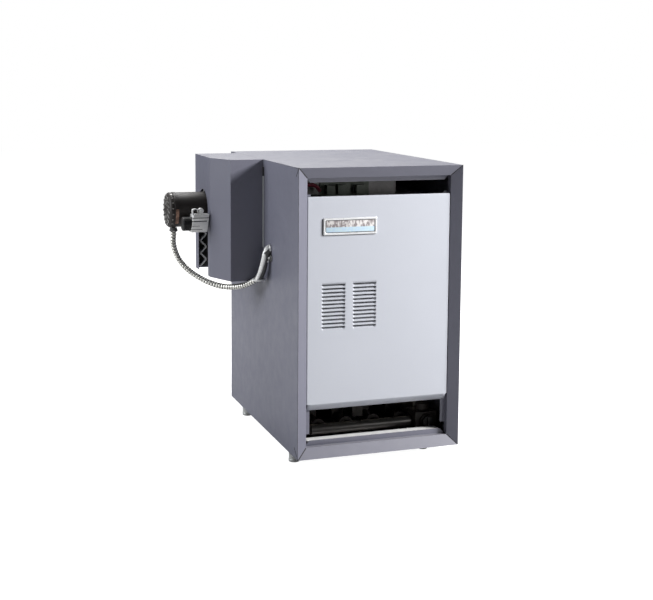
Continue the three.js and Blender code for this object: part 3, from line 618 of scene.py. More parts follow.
def finish(name, skin, colour, roughness, bump=0.1, metallic=0.0, scale=None, edge_wear_and_highlight=0.0,
           edge_wear_and_highlight_colour=(0.45, 0.45, 0.46), dust=0.0, dust_colour=(0.42, 0.40, 0.37), tint=None, groove_shade=None):
    """Finish on one surface effect: its colour shaded by the effect, bared at the edges, where a light worn
    colour is also painted highlight, and dusted on top.

    A tint is a colour and the cells per metre of its blotches; the groove colour is painted shade, the dark
    colour put between ridges.
    """
    material = bpy.data.materials.new(name)
    tree = empty_tree(material)
    base = place(tree, EFFECTS[skin], {"Scale": scale} if scale else None)
    colour = (*colour, 1.0)
    if tint:
        blotch = ramp(tree, noise(tree, tint[1], 5, 0.62), 0.40, 0.66)
        colour = mixed(tree, blotch, colour, (*tint[0], 1.0))
    # Painted shade: a dark colour in the grooves between the ridges, where the crest mask is low.
    if groove_shade:
        crest = add(tree, "Attribute", attribute_name="crest").outputs["Fac"]
        colour = mixed(tree, crest, (*groove_shade, 1.0), colour)
    shade = add(tree, "CombineColor", {0: base["Shade"], 1: base["Shade"], 2: base["Shade"]}).outputs[0]
    shown = mixed(tree, 1.0, colour, shade, "MULTIPLY")
    rough = maths(tree, "ADD", base["Sheen"], roughness)
    if edge_wear_and_highlight:
        # Bared edges: worn metal, and painted highlight where the worn colour is light.
        bare = place(tree, EFFECTS["edge_wear_and_highlight"], {"Amount": edge_wear_and_highlight})["Mask"]
        shown = mixed(tree, bare, shown, (*edge_wear_and_highlight_colour, 1.0))
        metallic = metallic or bare
    if dust:
        lying = place(tree, EFFECTS["dust"], {"Amount": dust})["Mask"]
        shown = mixed(tree, lying, shown, (*dust_colour, 1.0))
        rough = maths(tree, "ADD", rough, maths(tree, "MULTIPLY", lying, 0.35))
    relief = add(tree, "Bump", {"Height": base["Height"], "Strength": bump, "Distance": 0.0004})
    surface = add(tree, "BsdfPrincipled", {"Base Color": shown, "Roughness": rough, "Metallic": metallic,
                                           "Normal": relief.outputs["Normal"]})
    add(tree, "OutputMaterial", {"Surface": surface.outputs["BSDF"]})
    FINISHES[name] = material


def make_finishes():
    """Every finish on the boiler, by name."""
    EFFECTS.update(make_effects())
    scene = bpy.context.scene
    # The jacket's light worn colour along its edges is partly worn paint and partly painted highlight on its
    # folds.
    finish("jacket enamel", "skin", scene.boiler_jacket.paint, 0.42, bump=0.06, edge_wear_and_highlight=0.65,
           edge_wear_and_highlight_colour=(0.42, 0.43, 0.46), dust=0.30, dust_colour=(0.40, 0.39, 0.365))
    finish("door enamel", "skin", scene.boiler_door.paint, 0.36, bump=0.05, edge_wear_and_highlight=0.25,
           edge_wear_and_highlight_colour=(0.45, 0.46, 0.48), dust=0.15)
    finish("zinc plate", "brushed", (0.62, 0.62, 0.60), 0.34, bump=0.08, metallic=0.9, dust=0.12)
    # The conduit's near-black groove colour is painted shade between its ridges.
    finish("conduit zinc", "brushed", (0.93, 0.92, 0.86), 0.30, bump=0.06, metallic=0.75,
           groove_shade=(0.085, 0.083, 0.075))
    # Near-white and barely metallic: partly the zinc's own colour, partly painted highlight and reflection on
    # the elbow's trim and the terminal box.
    finish("zinc with painted highlight", "brushed", (0.92, 0.92, 0.91), 0.28, bump=0.06, metallic=0.15)
    # Dark cast zinc: on the elbow's body its dark colour is painted shade.
    finish("cast zinc", "grain", (0.13, 0.13, 0.13), 0.42, bump=0.12, metallic=0.7, scale=700.0)
    finish("foot zinc", "brushed", (0.60, 0.61, 0.60), 0.38, bump=0.06, metallic=0.35)
    finish("seam shadow", "grain", (0.012, 0.012, 0.014), 0.7, bump=0.1, scale=900.0)
    finish("light ledge", "brushed", (0.80, 0.81, 0.82), 0.32, bump=0.04, metallic=0.15)
    finish("inner sheet", "spangle", (0.36, 0.35, 0.35), 0.5, bump=0.03, metallic=0.15, dust=0.3)
    # Near-black ceramic for the igniter: painted shade inside the base.
    finish("sooted ceramic", "grain", (0.060, 0.055, 0.050), 0.85, bump=0.4, scale=700.0)
    finish("galvanised sheet", "spangle", (0.55, 0.56, 0.57), 0.40, bump=0.03, metallic=0.85, dust=0.25)
    finish("motor enamel", "skin", scene.boiler_motor.paint, 0.56, bump=0.12, edge_wear_and_highlight=0.5,
           edge_wear_and_highlight_colour=(0.09, 0.075, 0.07), dust=0.25, dust_colour=(0.075, 0.062, 0.055))
    # Light vent bars: partly the vents' own metal, partly painted highlights at the vent holes' edges; dark
    # blotches break them into specks.
    finish("vent metal with painted highlights", "grain", (0.50, 0.49, 0.47), 0.42, bump=0.2, metallic=0.3, scale=300.0,
           tint=((0.03, 0.028, 0.026), 120))
    finish("black plastic", "grain", (0.018, 0.018, 0.019), 0.45, bump=0.10, scale=900.0, dust=0.2,
           dust_colour=(0.12, 0.11, 0.10))
    finish("cast iron", "grain", (0.055, 0.054, 0.055), 0.62, bump=0.5, metallic=0.3, scale=420.0,
           tint=((0.10, 0.055, 0.035), 35), dust=0.3)
    finish("aluminised sheet", "spangle", (0.36, 0.37, 0.37), 0.46, bump=0.04, metallic=0.8,
           scale=260.0, dust=0.3)
    finish("bare copper", "brushed", (0.40, 0.24, 0.18), 0.40, bump=0.08, metallic=0.5,
           tint=((0.12, 0.075, 0.06), 110))
    finish("black pipe", "grain", (0.030, 0.029, 0.029), 0.50, bump=0.25, metallic=0.35, scale=600.0,
           edge_wear_and_highlight=0.5, edge_wear_and_highlight_colour=(0.22, 0.20, 0.19), tint=((0.06, 0.038, 0.028), 45))
    # Near-black burner steel: painted shade, so the burners sit dark inside the base.
    finish("burner steel", "grain", (0.045, 0.040, 0.036), 0.6, bump=0.2, metallic=0.4, scale=500.0)
    finish("satin pipe", "grain", (0.12, 0.115, 0.11), 0.34, bump=0.15, metallic=0.5, scale=600.0)
    finish("flange steel", "brushed", (0.33, 0.34, 0.36), 0.40, bump=0.05, metallic=0.1)
    finish("fibre board", "grain", (0.68, 0.62, 0.52), 0.90, bump=0.6, scale=700.0)
    finish("circuit board", "grain", (0.15, 0.18, 0.14), 0.45, bump=0.08, scale=300.0)
    finish("red plastic", "grain", (0.36, 0.022, 0.016), 0.34, bump=0.06, scale=900.0)
    finish("maroon sleeve", "grain", (0.22, 0.020, 0.045), 0.55, bump=0.25, scale=800.0)
    finish("nameplate metal", "brushed", (0.82, 0.83, 0.85), 0.30, bump=0.04, metallic=0.7)
    finish("rubber black", "grain", (0.012, 0.012, 0.012), 0.7, bump=0.15, scale=700.0)
    finish("varnished coil", "brushed", (0.45, 0.24, 0.10), 0.42, bump=0.3, metallic=0.3)


# --------------------------------------------------------------------- pieces


def place_camera():
    """Camera at the product view: before the boiler, to its left and above it, turned by three angles."""
    yaw, pitch, roll = 0.336319, 0.112623, 0.006956
    stand = ORIGIN + np.array((-893.145, -2755.188, 947.510)) * MM
    ahead = np.array((math.sin(yaw) * math.cos(pitch), math.cos(yaw) * math.cos(pitch), -math.sin(pitch)))
    right = np.cross(ahead, (0, 0, 1))
    right /= np.linalg.norm(right)
    up = np.cross(right, ahead)
    turned_right = math.cos(roll) * right + math.sin(roll) * up
    turned_up = -math.sin(roll) * right + math.cos(roll) * up
    data = bpy.data.cameras.new("product_camera")
    data.sensor_width, data.lens = 36, 67.086
    data.shift_y = -0.1378
    data.clip_end = 100
    camera = bpy.data.objects.new("product_camera", data)
    camera.matrix_world = (Matrix.Translation(stand)
                           @ Matrix(np.stack([turned_right, turned_up, -ahead], -1)).to_4x4())
    bpy.context.scene.collection.objects.link(camera)
    bpy.context.scene.camera = camera


def make_conduit(settings):
    """Armoured conduit: a wound strip, whose radius rises and falls once for each turn along the route.

    The phase advances with distance and with angle, so that the ridge is one helix.
    """
    proud, groove_depth, end_taper = 0.3, 2.3, 1.5
    route = spline(CONDUIT_POINTS, 24)
    length = np.linalg.norm(np.diff(route, axis=0), axis=1).sum()
    rows, around = int(length / settings.ridge_pitch * 12), 20
    path = evenly(route, rows)
    distance = np.linspace(0, length, rows)[:, None]
    phase = (distance / settings.ridge_pitch - circle(around)[None, :] / (2 * math.pi)) % 1
    crown = np.clip(2.4 - 4.8 * np.abs(phase - 0.5), 0, 1)
    outer = settings.diameter / 2 / MM + proud
    radius = outer - groove_depth * (1 - crown)
    ends = np.clip(np.minimum(distance, length - distance) / end_taper, 0, 1)
    radius = radius * ends + (outer - groove_depth) * (1 - ends)
    shape = hose(path, (0.45, 0.6, 0.66), radius, around)
    conduit = piece("armoured_conduit", shape, "cabinet", "conduit zinc", smooth_angle=60,
                    replaces=("conduit",))
    if len(conduit.data.vertices) != radius.size:
        raise RuntimeError("the conduit's points no longer match its ridges")
    # Crest mask: 1 on the ridges, 0 in the grooves, where the finish paints shade.
    crest = conduit.data.attributes.new("crest", "FLOAT", "POINT")
    crest.data.foreach_set("value", np.clip((radius - (outer - 1.6)) / 1.5, 0, 1).ravel())


def make_conduit_fittings():
    """Collar under the motor, and the wall elbow: its body, its nut, rim, strap and screws, its lock-nut. The
    elbow's body is dark with painted shade and has a dark lump of painted shadow at the wall; its strap and
    trim are near white, partly painted highlight.
    """
    x, y, z = CONDUIT_POINTS[0]
    collar = [(7.7, z - 4), (10.6, z - 4), (11.2, z - 3), (11.2, z + 0.4), (9.8, z + 1.2), (9.8, z + 5.4),
              (7.7, z + 5.4), (7.7, z - 4)]
    piece("conduit_collar", turned(collar, (x, y), "z", 32), "cabinet", "cast zinc",
          replaces=("conduit_motor_fitting",))
    hub = ELBOW_WALL + (0, -10, 6)
    bend = evenly(spline([hub - (0.7, 0, 0), (-10, 237, 482), (-13, 243, 462), (-15, 250, 440),
                          (-20, 262, 420), (-23.5, 267, 410)], 8), 40)
    swell = np.interp(np.linspace(0, 1, 40), [0, 0.2, 0.45, 0.65, 0.85, 1],
                      [10, 10, 8.6, 8.4, 9.5, 11.5])
    body = hose(bend, (0.3, 0.8, 0.5), swell[:, None], 28)
    # Painted shadow: a dark lump at the wall, under the elbow's hub.
    hub_shadow = turned([(0, -0.5), (9.5, -0.5), (9.5, -3), (8, -4), (0, -4)], (228, 470), "x", 24)
    piece("elbow_body", merge([body, hub_shadow]), "cabinet", "cast zinc", smooth_angle=40,
          replaces=("conduit_elbow",))
    nut = turned([(7, -0.4), (10, -0.4), (11, -1.4), (11, -4.4), (10, -5.4), (8.5, -5.4), (8, -3.4),
                  (7, -3.4), (7, -0.4)], hub[1:] + (0, 3), "x", 32)
    rim = turned([(0, 405.5), (16.6, 405.5), (17.6, 406.5), (17.6, 409.5), (16.6, 410.5), (0, 410.5)],
                 (-23.5, 268), "z", 36)
    strap_line = evenly(spline([(-2, 235, 502), (-10, 234, 495), (-16, 234, 482), (-20, 236, 462),
                                (-26, 243, 434), (-33, 252, 411)], 8), 30)
    section = outline(5.8, 3.4, 3.0, 3)
    narrow = np.interp(np.linspace(0, 1, 30), [0, 0.08, 0.5, 1], [0.6, 1, 1, 0.78])[:, None]
    strap = swept(strap_line, (-0.8, -0.7, 0), section[:, 0] * narrow, section[:, 1] * narrow)
    lug = rounded_box((-15, 235, 457), (-4.5, 243, 469), 2.5, 1, "x", 3)
    screws = [hex_screw((-15, 239, 463), (-1, 0, 0), 3.2, 2.6),
              hex_screw((-6, 228, 470), (-1, 0, 0), 3.0, 3)]
    piece("elbow_trim", merge([nut, rim, strap, lug] + screws), "cabinet", "zinc with painted highlight",
          smooth_angle=40)
    nut = [(8.6, 1.9), (14.6, 1.9), (15.0, 2.6), (15.0, 6.6), (14.4, 7.4), (8.6, 7.4), (8.6, 1.9)]
    piece("elbow_locknut", turned(nut, ELBOW_WALL[1:], "x", 6), "cabinet", "zinc plate",
          replaces=("conduit_locknut",))


def make_seams():
    """Dark mitre seams of painted shadow, a flat bar along each joint of the jacket's folds, and the side
    cover's flange with a dark strip of painted shadow above it.
    """
    def seam(start, end, outward, half_width):
        """Flat bar between two points, its wide face turned outward."""
        line = evenly(np.array((start, end), float), 4)
        ring = outline(half_width, 0.35, 0.3, 1)
        return swept(line, outward, ring[:, 0], ring[:, 1])

    parts, inset = [], 0.4
    for x, step in ((0.0, 1), (WIDTH, -1)):
        for z, rise in ((HEIGHT, -1), (0.0, 1)):
            inner, outer = BEVEL_WIDTH - inset, 0.6
            parts.append(seam((x + outer * step, 0.2, z + outer * rise),
                              (x + inner * step, BEVEL_DEPTH - inset, z + inner * rise),
                              (0, -1, 0), 1.7 + 0.5 * step))
    # On each side a slanted seam at the top and at the bottom, and an upright one along the front edge.
    sides = ((-0.05, (-1, 0, 0)), (WIDTH + 0.05, (1, 0, 0)))
    for z, rise, back in ((HEIGHT - 0.5, -21, 20), (0.5, 25.5, 29)):
        parts += [seam((x, 0.8, z), (x, back, z + rise), outward, 1.2) for x, outward in sides]
    parts += [seam((x, 2.0, 2), (x, 2.0, HEIGHT - 2), outward, 0.7) for x, outward in sides]
    piece("jacket_seam_shadows", merge(parts), "cabinet", "seam shadow")
    # The second strip is painted shadow in the gap above the flange.
    for name, finish_name, y, bottom, top in (("cover_flange", "flange steel", 294.0, 488, 676),
                                              ("cover_flange_gap_shadow", "seam shadow", 295.0, 677, 700)):
        strip = rounded_box((-2.0, y, bottom), (-0.35, COVER_LOW[1] - 0.3, top), 0.5, 0.3, "z", 2)
        piece(name, strip, "cabinet", finish_name)


def make_feet():
    """Levelling feet: a turned glide with rounded rims, and a stud whose radius ripples along its height."""
    for depth in ("front", "rear"):
        for side in ("left", "right"):
            low, high = node_mm("foot_%s_%s" % (depth, side))
            centre, reach = (low + high)[:2] / 2, (high - low)[0] / 2
            z = low[2]
            glide = [(0, z), (reach - 2, z), (reach - 0.6, z + 0.6), (reach, z + 2), (reach, z + 7),
                     (reach - 0.8, z + 8), (reach - 0.8, z + 21), (reach - 0.2, z + 22),
                     (reach - 0.2, z + 23.6), (reach - 1, z + 24.3), (4, z + 24.5)]
            height = np.linspace(z + 24.6, high[2] - 0.6, 26)
            stud = [(3.9 - 0.45 * (k % 2), h) for k, h in enumerate(height)] + [(3.2, high[2]), (0, high[2])]
            piece("foot_glide_%s_%s" % (depth, side), turned(glide + stud, centre, "z", 32), "cabinet",
                  "foot zinc", replaces=("foot_%s_%s" % (depth, side),))


def make_door(settings):
    """Lift-off door: one sheet whose points follow its bends both ways, and its hooks.

    Each louvre is a smooth inward swell, deepest at its upper edge, where it ends in an open slot.
    """
    left, right = DOOR_LOW[0], DOOR_HIGH[0]
    face, top, bottom = DOOR_LOW[1], DOOR_HIGH[2], DOOR_SHEET_BOTTOM
    radius, back = 2.4, 27.0
    bend = np.radians(np.linspace(90, 0, 5))

    # Where the sheet's points stand: closer together at the bends and round the louvres.
    columns = [(left + 38, left + 99), (left + 119.5, left + 180.5)]
    steps_x = [left + radius, left + radius + 0.8, left + 12.0]
    for start, end in columns:
        taper = np.array((0, 0.8, 1.8, 3, 4.5, 6))
        steps_x += [start - 2, *(start + taper), (start + end) / 2, *(end - taper[::-1]), end + 2]
    steps_x += [left + 240, left + 300, right - 12.0, right - radius - 0.8, right - radius]
    rows = settings.louvre_rows
    pitch, lowest, tall, slot = 9.6, bottom + 184.4, 7.4, 2.6
    steps_z = [bottom, bottom + 0.8, bottom + 60, bottom + 120, lowest - 4]
    for k in range(rows):
        z = lowest + k * pitch
        steps_z += [z, z + 1.2, z + 2.6, z + 4.0, z + tall - slot, z + tall]
    steps_z += [z + tall + 6, bottom + 360, bottom + 440, top - radius - 0.8, top - radius]

    # Across: sheet edge, flange, bend, face, bend, flange. Up: skirt, bend, face, bend, flange.
    flange = [back - face - radius]
    lie_x = np.array([left + radius] * 6 + steps_x[1:-1] + [right - radius] * 6)
    turn_x = np.concatenate([[bend[0]], bend, np.zeros(len(steps_x) - 2), bend[::-1], [bend[0]]])
    side_x = np.concatenate([-np.ones(6), np.zeros(len(steps_x) - 2), np.ones(6)])
    deep_x = np.concatenate([flange, np.zeros(len(lie_x) - 2), flange])
    skirt_turn = math.atan2(10.0, 16.0)
    skirt_bend = np.linspace(skirt_turn, 0, 4)
    lie_z = np.array([bottom] * 5 + steps_z[1:-1] + [top - radius] * 6)
    turn_z = np.concatenate([[skirt_turn], skirt_bend, np.zeros(len(steps_z) - 2), bend[::-1], [bend[0]]])
    side_z = np.concatenate([-np.ones(5), np.zeros(len(steps_z) - 2), np.ones(6)])
    deep_z = np.concatenate([np.zeros(len(lie_z) - 1), flange])
    nu, nv = len(lie_x), len(lie_z)
    a, b = turn_x[:, None], turn_z[None, :]
    normal = np.stack(np.broadcast_arrays(side_x[:, None] * np.sin(a), -np.cos(a) * np.cos(b),
                                          side_z[None, :] * np.sin(b)), -1)
    normal /= np.maximum(np.linalg.norm(normal, axis=-1, keepdims=True), 1e-9)
    points = radius * normal
    points += np.stack(np.broadcast_arrays(lie_x[:, None], face + radius, lie_z[None, :]), -1)
    points[..., 1] += deep_x[:, None] + deep_z[None, :]
    skirt = 18.2
    points[:, 0, 1] += skirt * math.sin(skirt_turn)
    points[:, 0, 2] -= skirt * math.cos(skirt_turn)

    # Louvres: a smooth step from both ends times a quarter sine up to the slot.
    x, z = lie_x[:, None], lie_z[None, :]
    end_length = 4.5
    sunk = np.zeros((nu, nv))
    for start, end in columns:
        end_rise = np.clip(np.minimum(x - start, end - x) / end_length, 0, 1)
        end_rise = end_rise * end_rise * (3 - 2 * end_rise)
        for k in range(rows):
            t = np.clip((z - lowest - k * pitch) / (tall - slot), 0, 1)
            inside = (z < lowest + k * pitch + tall - slot + 0.01) & (z > lowest + k * pitch - 0.01)
            sunk = np.maximum(sunk, end_rise * np.sin(t * math.pi / 2) ** 1.2 * inside)
    points[..., 1] += settings.louvre_depth * sunk

    # The sheet's notched corners and the louvres' slots are left out.
    verts, quads = grid(points)
    i, j = np.divmod(np.arange(len(quads)), nv - 1)
    middle_x, middle_z = (lie_x[i] + lie_x[i + 1]) / 2, (lie_z[j] + lie_z[j + 1]) / 2
    gone = ((i == 0) | (i == nu - 2)) & ((j < 4) | (j == nv - 2))
    gone |= (j == nv - 2) & ((i < 5) | (i > nu - 7))
    gone |= (j < 4) & ((i < 6) | (i > nu - 8))
    for start, end in columns:
        within = (middle_x > start + 0.2) & (middle_x < end - 0.2)
        for k in range(rows):
            z_slot = lowest + k * pitch + tall
            gone |= within & (middle_z > z_slot - slot + 0.1) & (middle_z < z_slot - 0.1)
    piece("door_panel", (verts, quads[~gone]), "door", "door enamel", closed=False,
          smooth_angle=35, thickness=1.0, replaces=("front_door",))
    hooks = []
    for level in (160.0, 600.0):
        for edge, step in ((35.0, 1), (right - 8.0, -1)):
            hooks.append(rounded_box((min(edge, edge + 7 * step), 27.5, level + 0.5),
                                     (max(edge, edge + 7 * step), 32.8, level + 19.5), 1.5, 0.4, "y", 2))
    piece("door_hooks", merge(hooks), "door", "zinc plate")


def make_label_finish(split):
    """Two plain mottled tones, one above and one below the height split, in metres."""
    material = bpy.data.materials.new("nameplate label")
    tree = empty_tree(material)
    level = add(tree, "SeparateXYZ", {0: add(tree, "TexCoord").outputs["Object"]}).outputs["Z"]
    upper = ramp(tree, level, split - 0.0005, split + 0.0005)
    mottled = mixed(tree, ramp(tree, noise(tree, 210, 3, 0.55, (1, 1, 0.5)), 0.44, 0.58),
                    (0.24, 0.21, 0.22, 1), (0.66, 0.64, 0.64, 1))
    band = mixed(tree, ramp(tree, noise(tree, 180, 3), 0.4, 0.6),
                 (0.44, 0.58, 0.74, 1), (0.50, 0.64, 0.70, 1))
    relief = add(tree, "Bump", {"Height": noise(tree, 700, 2), "Strength": 0.05, "Distance": 0.0003})
    surface = add(tree, "BsdfPrincipled", {"Base Color": mixed(tree, upper, band, mottled),
                                           "Normal": relief.outputs["Normal"],
                                           "Roughness": ramp(tree, noise(tree, 90, 3), 0.3, 0.7, 0.36, 0.50)})
    add(tree, "OutputMaterial", {"Surface": surface.outputs["BSDF"]})
    FINISHES["nameplate label"] = material


def make_nameplate():
    """Blank plate: stacked rounded outlines make its rolled rim and sunk field, with a plain label in it and
    dark sheets of painted shadow round it.
    """
    low, high = node_mm("nameplate")
    centre, half = ((low + high) / 2)[[0, 2]], ((high - low) / 2)[[0, 2]]
    front, back = low[1], high[1] - 0.05
    stations = [(0, back), (0, front + 0.9), (0.3, front + 0.3), (0.9, front), (4.6, front),
                (5.1, front + 0.3), (5.5, front + 1.0)]
    loops = []
    for inset, y in stations:
        ring = outline(half[0] - inset, half[1] - inset, 3.0)
        loops.append(to_axes(centre[0] + ring[:, 0], centre[1] + ring[:, 1], y, "y"))
    piece("nameplate_rim", loft(np.stack(loops)), "door", "nameplate metal",
          smooth_angle=50, replaces=("nameplate",))
    # Painted shadow: a dark ring in the sunk field round the label, and a dark sheet behind the plate that
    # shows at its left and bottom edges as its cast shadow.
    shade = rounded_box((low[0] + 5.6, front + 0.88, low[2] + 5.6),
                        (high[0] - 5.6, front + 0.99, high[2] - 5.6), 1.5, 0.05, "y", 3)
    plate_shadow = rounded_box((low[0] - 1.7, high[1] - 1.0, low[2] - 1.2),
                         (high[0] - 1, high[1] + 0.1, high[2] - 1), 3, 0.3, "y", 3)
    piece("nameplate_shadows", merge([shade, plate_shadow]), "door", "seam shadow")
    make_label_finish((ORIGIN[2] / MM + low[2] + 19) * MM)
    field = rounded_box((low[0] + 7.0, front + 0.70, low[2] + 7.0),
                        (high[0] - 7.0, front + 0.98, high[2] - 7.0), 1.5, 0.1, "y", 3)
    piece("nameplate_label", field, "door", "nameplate label")


def make_brace_and_shade_sheet():
    """Folded zigzag brace behind the side cover's slot, and behind it a dark sheet of painted shade for the
    inside of the cover.
    """
    low, high = node_mm("blower_brace")
    turns = np.linspace(high[2] - 1, low[2] + 2, 7)
    line = [(low[0] + 1 + 17 * (k % 2), z) for k, z in enumerate(turns)]
    piece("zigzag_brace", bent_sheet(rounded(line, 2), 4.0, low[1] + 2, high[1] - 3, "y"), "cabinet",
          "light ledge", replaces=("blower_brace",))
    # Painted shade: a black sheet where the inside of the cover lies in shade.
    shade_sheet = rounded_box((COVER_LOW[0] + 2.2, high[1] + 0.4, COVER_LOW[2] + 4), (-4, COVER_HIGH[1] - 1.7, 530),
                       2, 0.2, "y", 2)
    piece("cover_painted_shade", shade_sheet, "cabinet", "rubber black")


def make_motor():
    """Inducer motor: a drawn can with rolled rims, its vent cap with radial bars, light partly as painted
    highlight, and the copper strap.
    """
    y, z = MOTOR_AXIS
    r = MOTOR_RADIUS
    near, far = CAN_HIGH[0], CAN_LOW[0]
    can = [(0, near), (r - 4, near), (r - 1.2, near - 0.8), (r, near - 2.4), (r, near - 9),
           (r - 1.0, near - 10), (r - 1.0, far + 10), (r, far + 9), (r, far + 1.4), (r - 1.0, far), (0, far)]
    piece("motor_housing", turned(can, (y, z), "x", 72), "cabinet", "motor enamel",
          replaces=("motor_can",))
    near, far = CAP_HIGH[0], CAP_LOW[0]
    rim = (CAP_HIGH - CAP_LOW)[2] / 2
    cap = [(0, near), (rim - 1, near), (rim, near - 1), (rim, near - 6), (rim - 1.2, far + 5),
           (rim - 5, far + 1.6), (rim - 9, far + 0.8), (14, far), (12, far + 1.5), (0, far + 1.8)]
    piece("motor_vent_cap", turned(cap, (y, z), "x", 72), "cabinet", "motor enamel",
          replaces=("motor_end_cap",))

    def vent_bar(angle, ends, half_width, outward=None):
        """Flat bar at an angle round the axis, between two (x, radius) ends, facing outward."""
        across, up = math.cos(angle), math.sin(angle)
        line = np.array([(x, y + reach * across, z + reach * up) for x, reach in ends])
        ring = outline(half_width, 0.5, 0.4, 1)
        return swept(evenly(line, 2), outward or (0, across, up), ring[:, 0], ring[:, 1])

    # Light bars on the dark cap: partly its vent ribs, partly painted highlights at the edges of its vent
    # holes.
    vents = [vent_bar(angle, ((far - 0.1, inner), (far - 0.1, outer)), 2.2, (-1, 0, 0))
             for count, inner, outer in ((9, 16, 24), (13, 27, 33), (17, 36, 42))
             for angle in circle(count, 0.1 * inner)]
    sunk = rim - 0.45
    vents += [vent_bar(angle, ((near - 2, sunk), (near - 6.5, sunk)), 1.9) for angle in circle(19)]
    piece("motor_vent_bars", merge(vents), "cabinet", "vent metal with painted highlights")
    strap_low, strap_high = node_mm("earth_strap")
    angle = np.linspace(math.pi + 0.74, math.pi - 0.12, 22)
    line = np.stack([y + (r + 1.6) * np.cos(angle), z + (r + 1.6) * np.sin(angle)], -1)
    piece("copper_strap", bent_sheet(line, 1.0, strap_low[0] + 0.3, strap_high[0] - 0.3, "x"), "cabinet",
          "bare copper", replaces=("earth_strap",))


def make_motor_wiring():
    """Terminal box with its folded lid, dark strips of painted shade for each slit in it, its clip, and the
    ribbed capacitor beside it.
    """
    low, high = node_mm("terminal_box")

    def leaning(shape):
        """The shape with its lower parts moved out from the cover, 12 mm for each 100 mm of height."""
        verts, faces = shape
        verts = np.array(verts, float)
        verts[:, 0] += 0.12 * (verts[:, 2] - high[2])
        return verts, faces

    box = rounded_box(low + (0.2, 0.2, 6), high - (0.2, 0.2, 3), 1.4, 0.6, "z", 3)
    lid = rounded_box((low[0], low[1], high[2] - 17), high, 1.6, 0.8, "z", 3)
    # The terminal box's near-white zinc is partly painted highlight.
    piece("terminal_housing", leaning(merge([box, lid])), "cabinet", "zinc with painted highlight",
          replaces=("terminal_box",))
    # Painted shade: dark strips where the box has a slit.
    slit_shadows = []
    for drop, tall, inset in ((19.0, 2.6, 4), (10, 2.0, -0.1), (31, 1.0, 22), (40, 1.2, 14)):
        z = high[2] - drop
        slit_shadows.append(rounded_box((low[0] - 0.1, low[1] - 0.1, z), (high[0] - inset, high[1] - 2, z + tall),
                                 1.5, 0.2, "z", 2))
    piece("terminal_slit_shadows", leaning(merge(slit_shadows)), "cabinet", "seam shadow")
    arch = rounded([(-168, high[2] - 1), (-169, high[2] + 13), (-161, high[2] + 16), (-151, high[2] + 13),
                    (-150, high[2] - 1)], 4)
    clip = bent_sheet(arch, -2.4, 396, 409, "y")
    ear = turned([(0, 396), (7.5, 396), (8, 397), (8, 401), (7, 402), (0, 402)], (-146, high[2] + 9), "y", 20)
    screw = hex_screw((-146, 396.2, high[2] + 9), (0, -1, 0), 3.4, 3)
    piece("terminal_clip", merge([clip, ear, screw]), "cabinet", "zinc with painted highlight",
          replaces=("terminal_box_clip",))
    low, high = node_mm("run_capacitor")
    r = (high - low)[2] / 2
    centre = (low + high)[1:] / 2
    distance = np.linspace(low[0] + 2, high[0] - 2, 50)
    ribs = [(r - 0.9 * (k % 4 in (0, 1)), d) for k, d in enumerate(distance)]
    profile = [(0, low[0]), (r - 3, low[0]), (r - 1, low[0] + 0.8), *ribs, (r - 1, high[0] - 0.8),
               (0, high[0])]
    piece("ribbed_capacitor", turned(profile, centre, "x", 40), "cabinet", "black plastic",
          replaces=("run_capacitor",))


def make_grommet():
    """Rubber grommet round the gas inlet, where it passes the right side."""
    low, high = node_mm("gas_inlet_nipple")
    inner = (high - low)[2] / 2 + 0.1
    ring = [(inner, 424), (17.5, 424), (18, 424.8), (18, 428.6), (17.5, 430.2), (15.6, 430.4),
            (15.4, 431.6), (inner, 431.6), (inner, 424)]
    piece("gas_inlet_grommet", turned(ring, ((low + high) / 2)[1:], "x", 36), "cabinet",
          "rubber black")


def paint_loom():
    """The CAD bundle of wires that leaves the controls keeps its shape and takes its finish."""
    mesh = frame["nodes"]["wiring_loom"].data
    mesh.materials.clear()
    mesh.materials.append(FINISHES["maroon sleeve"])


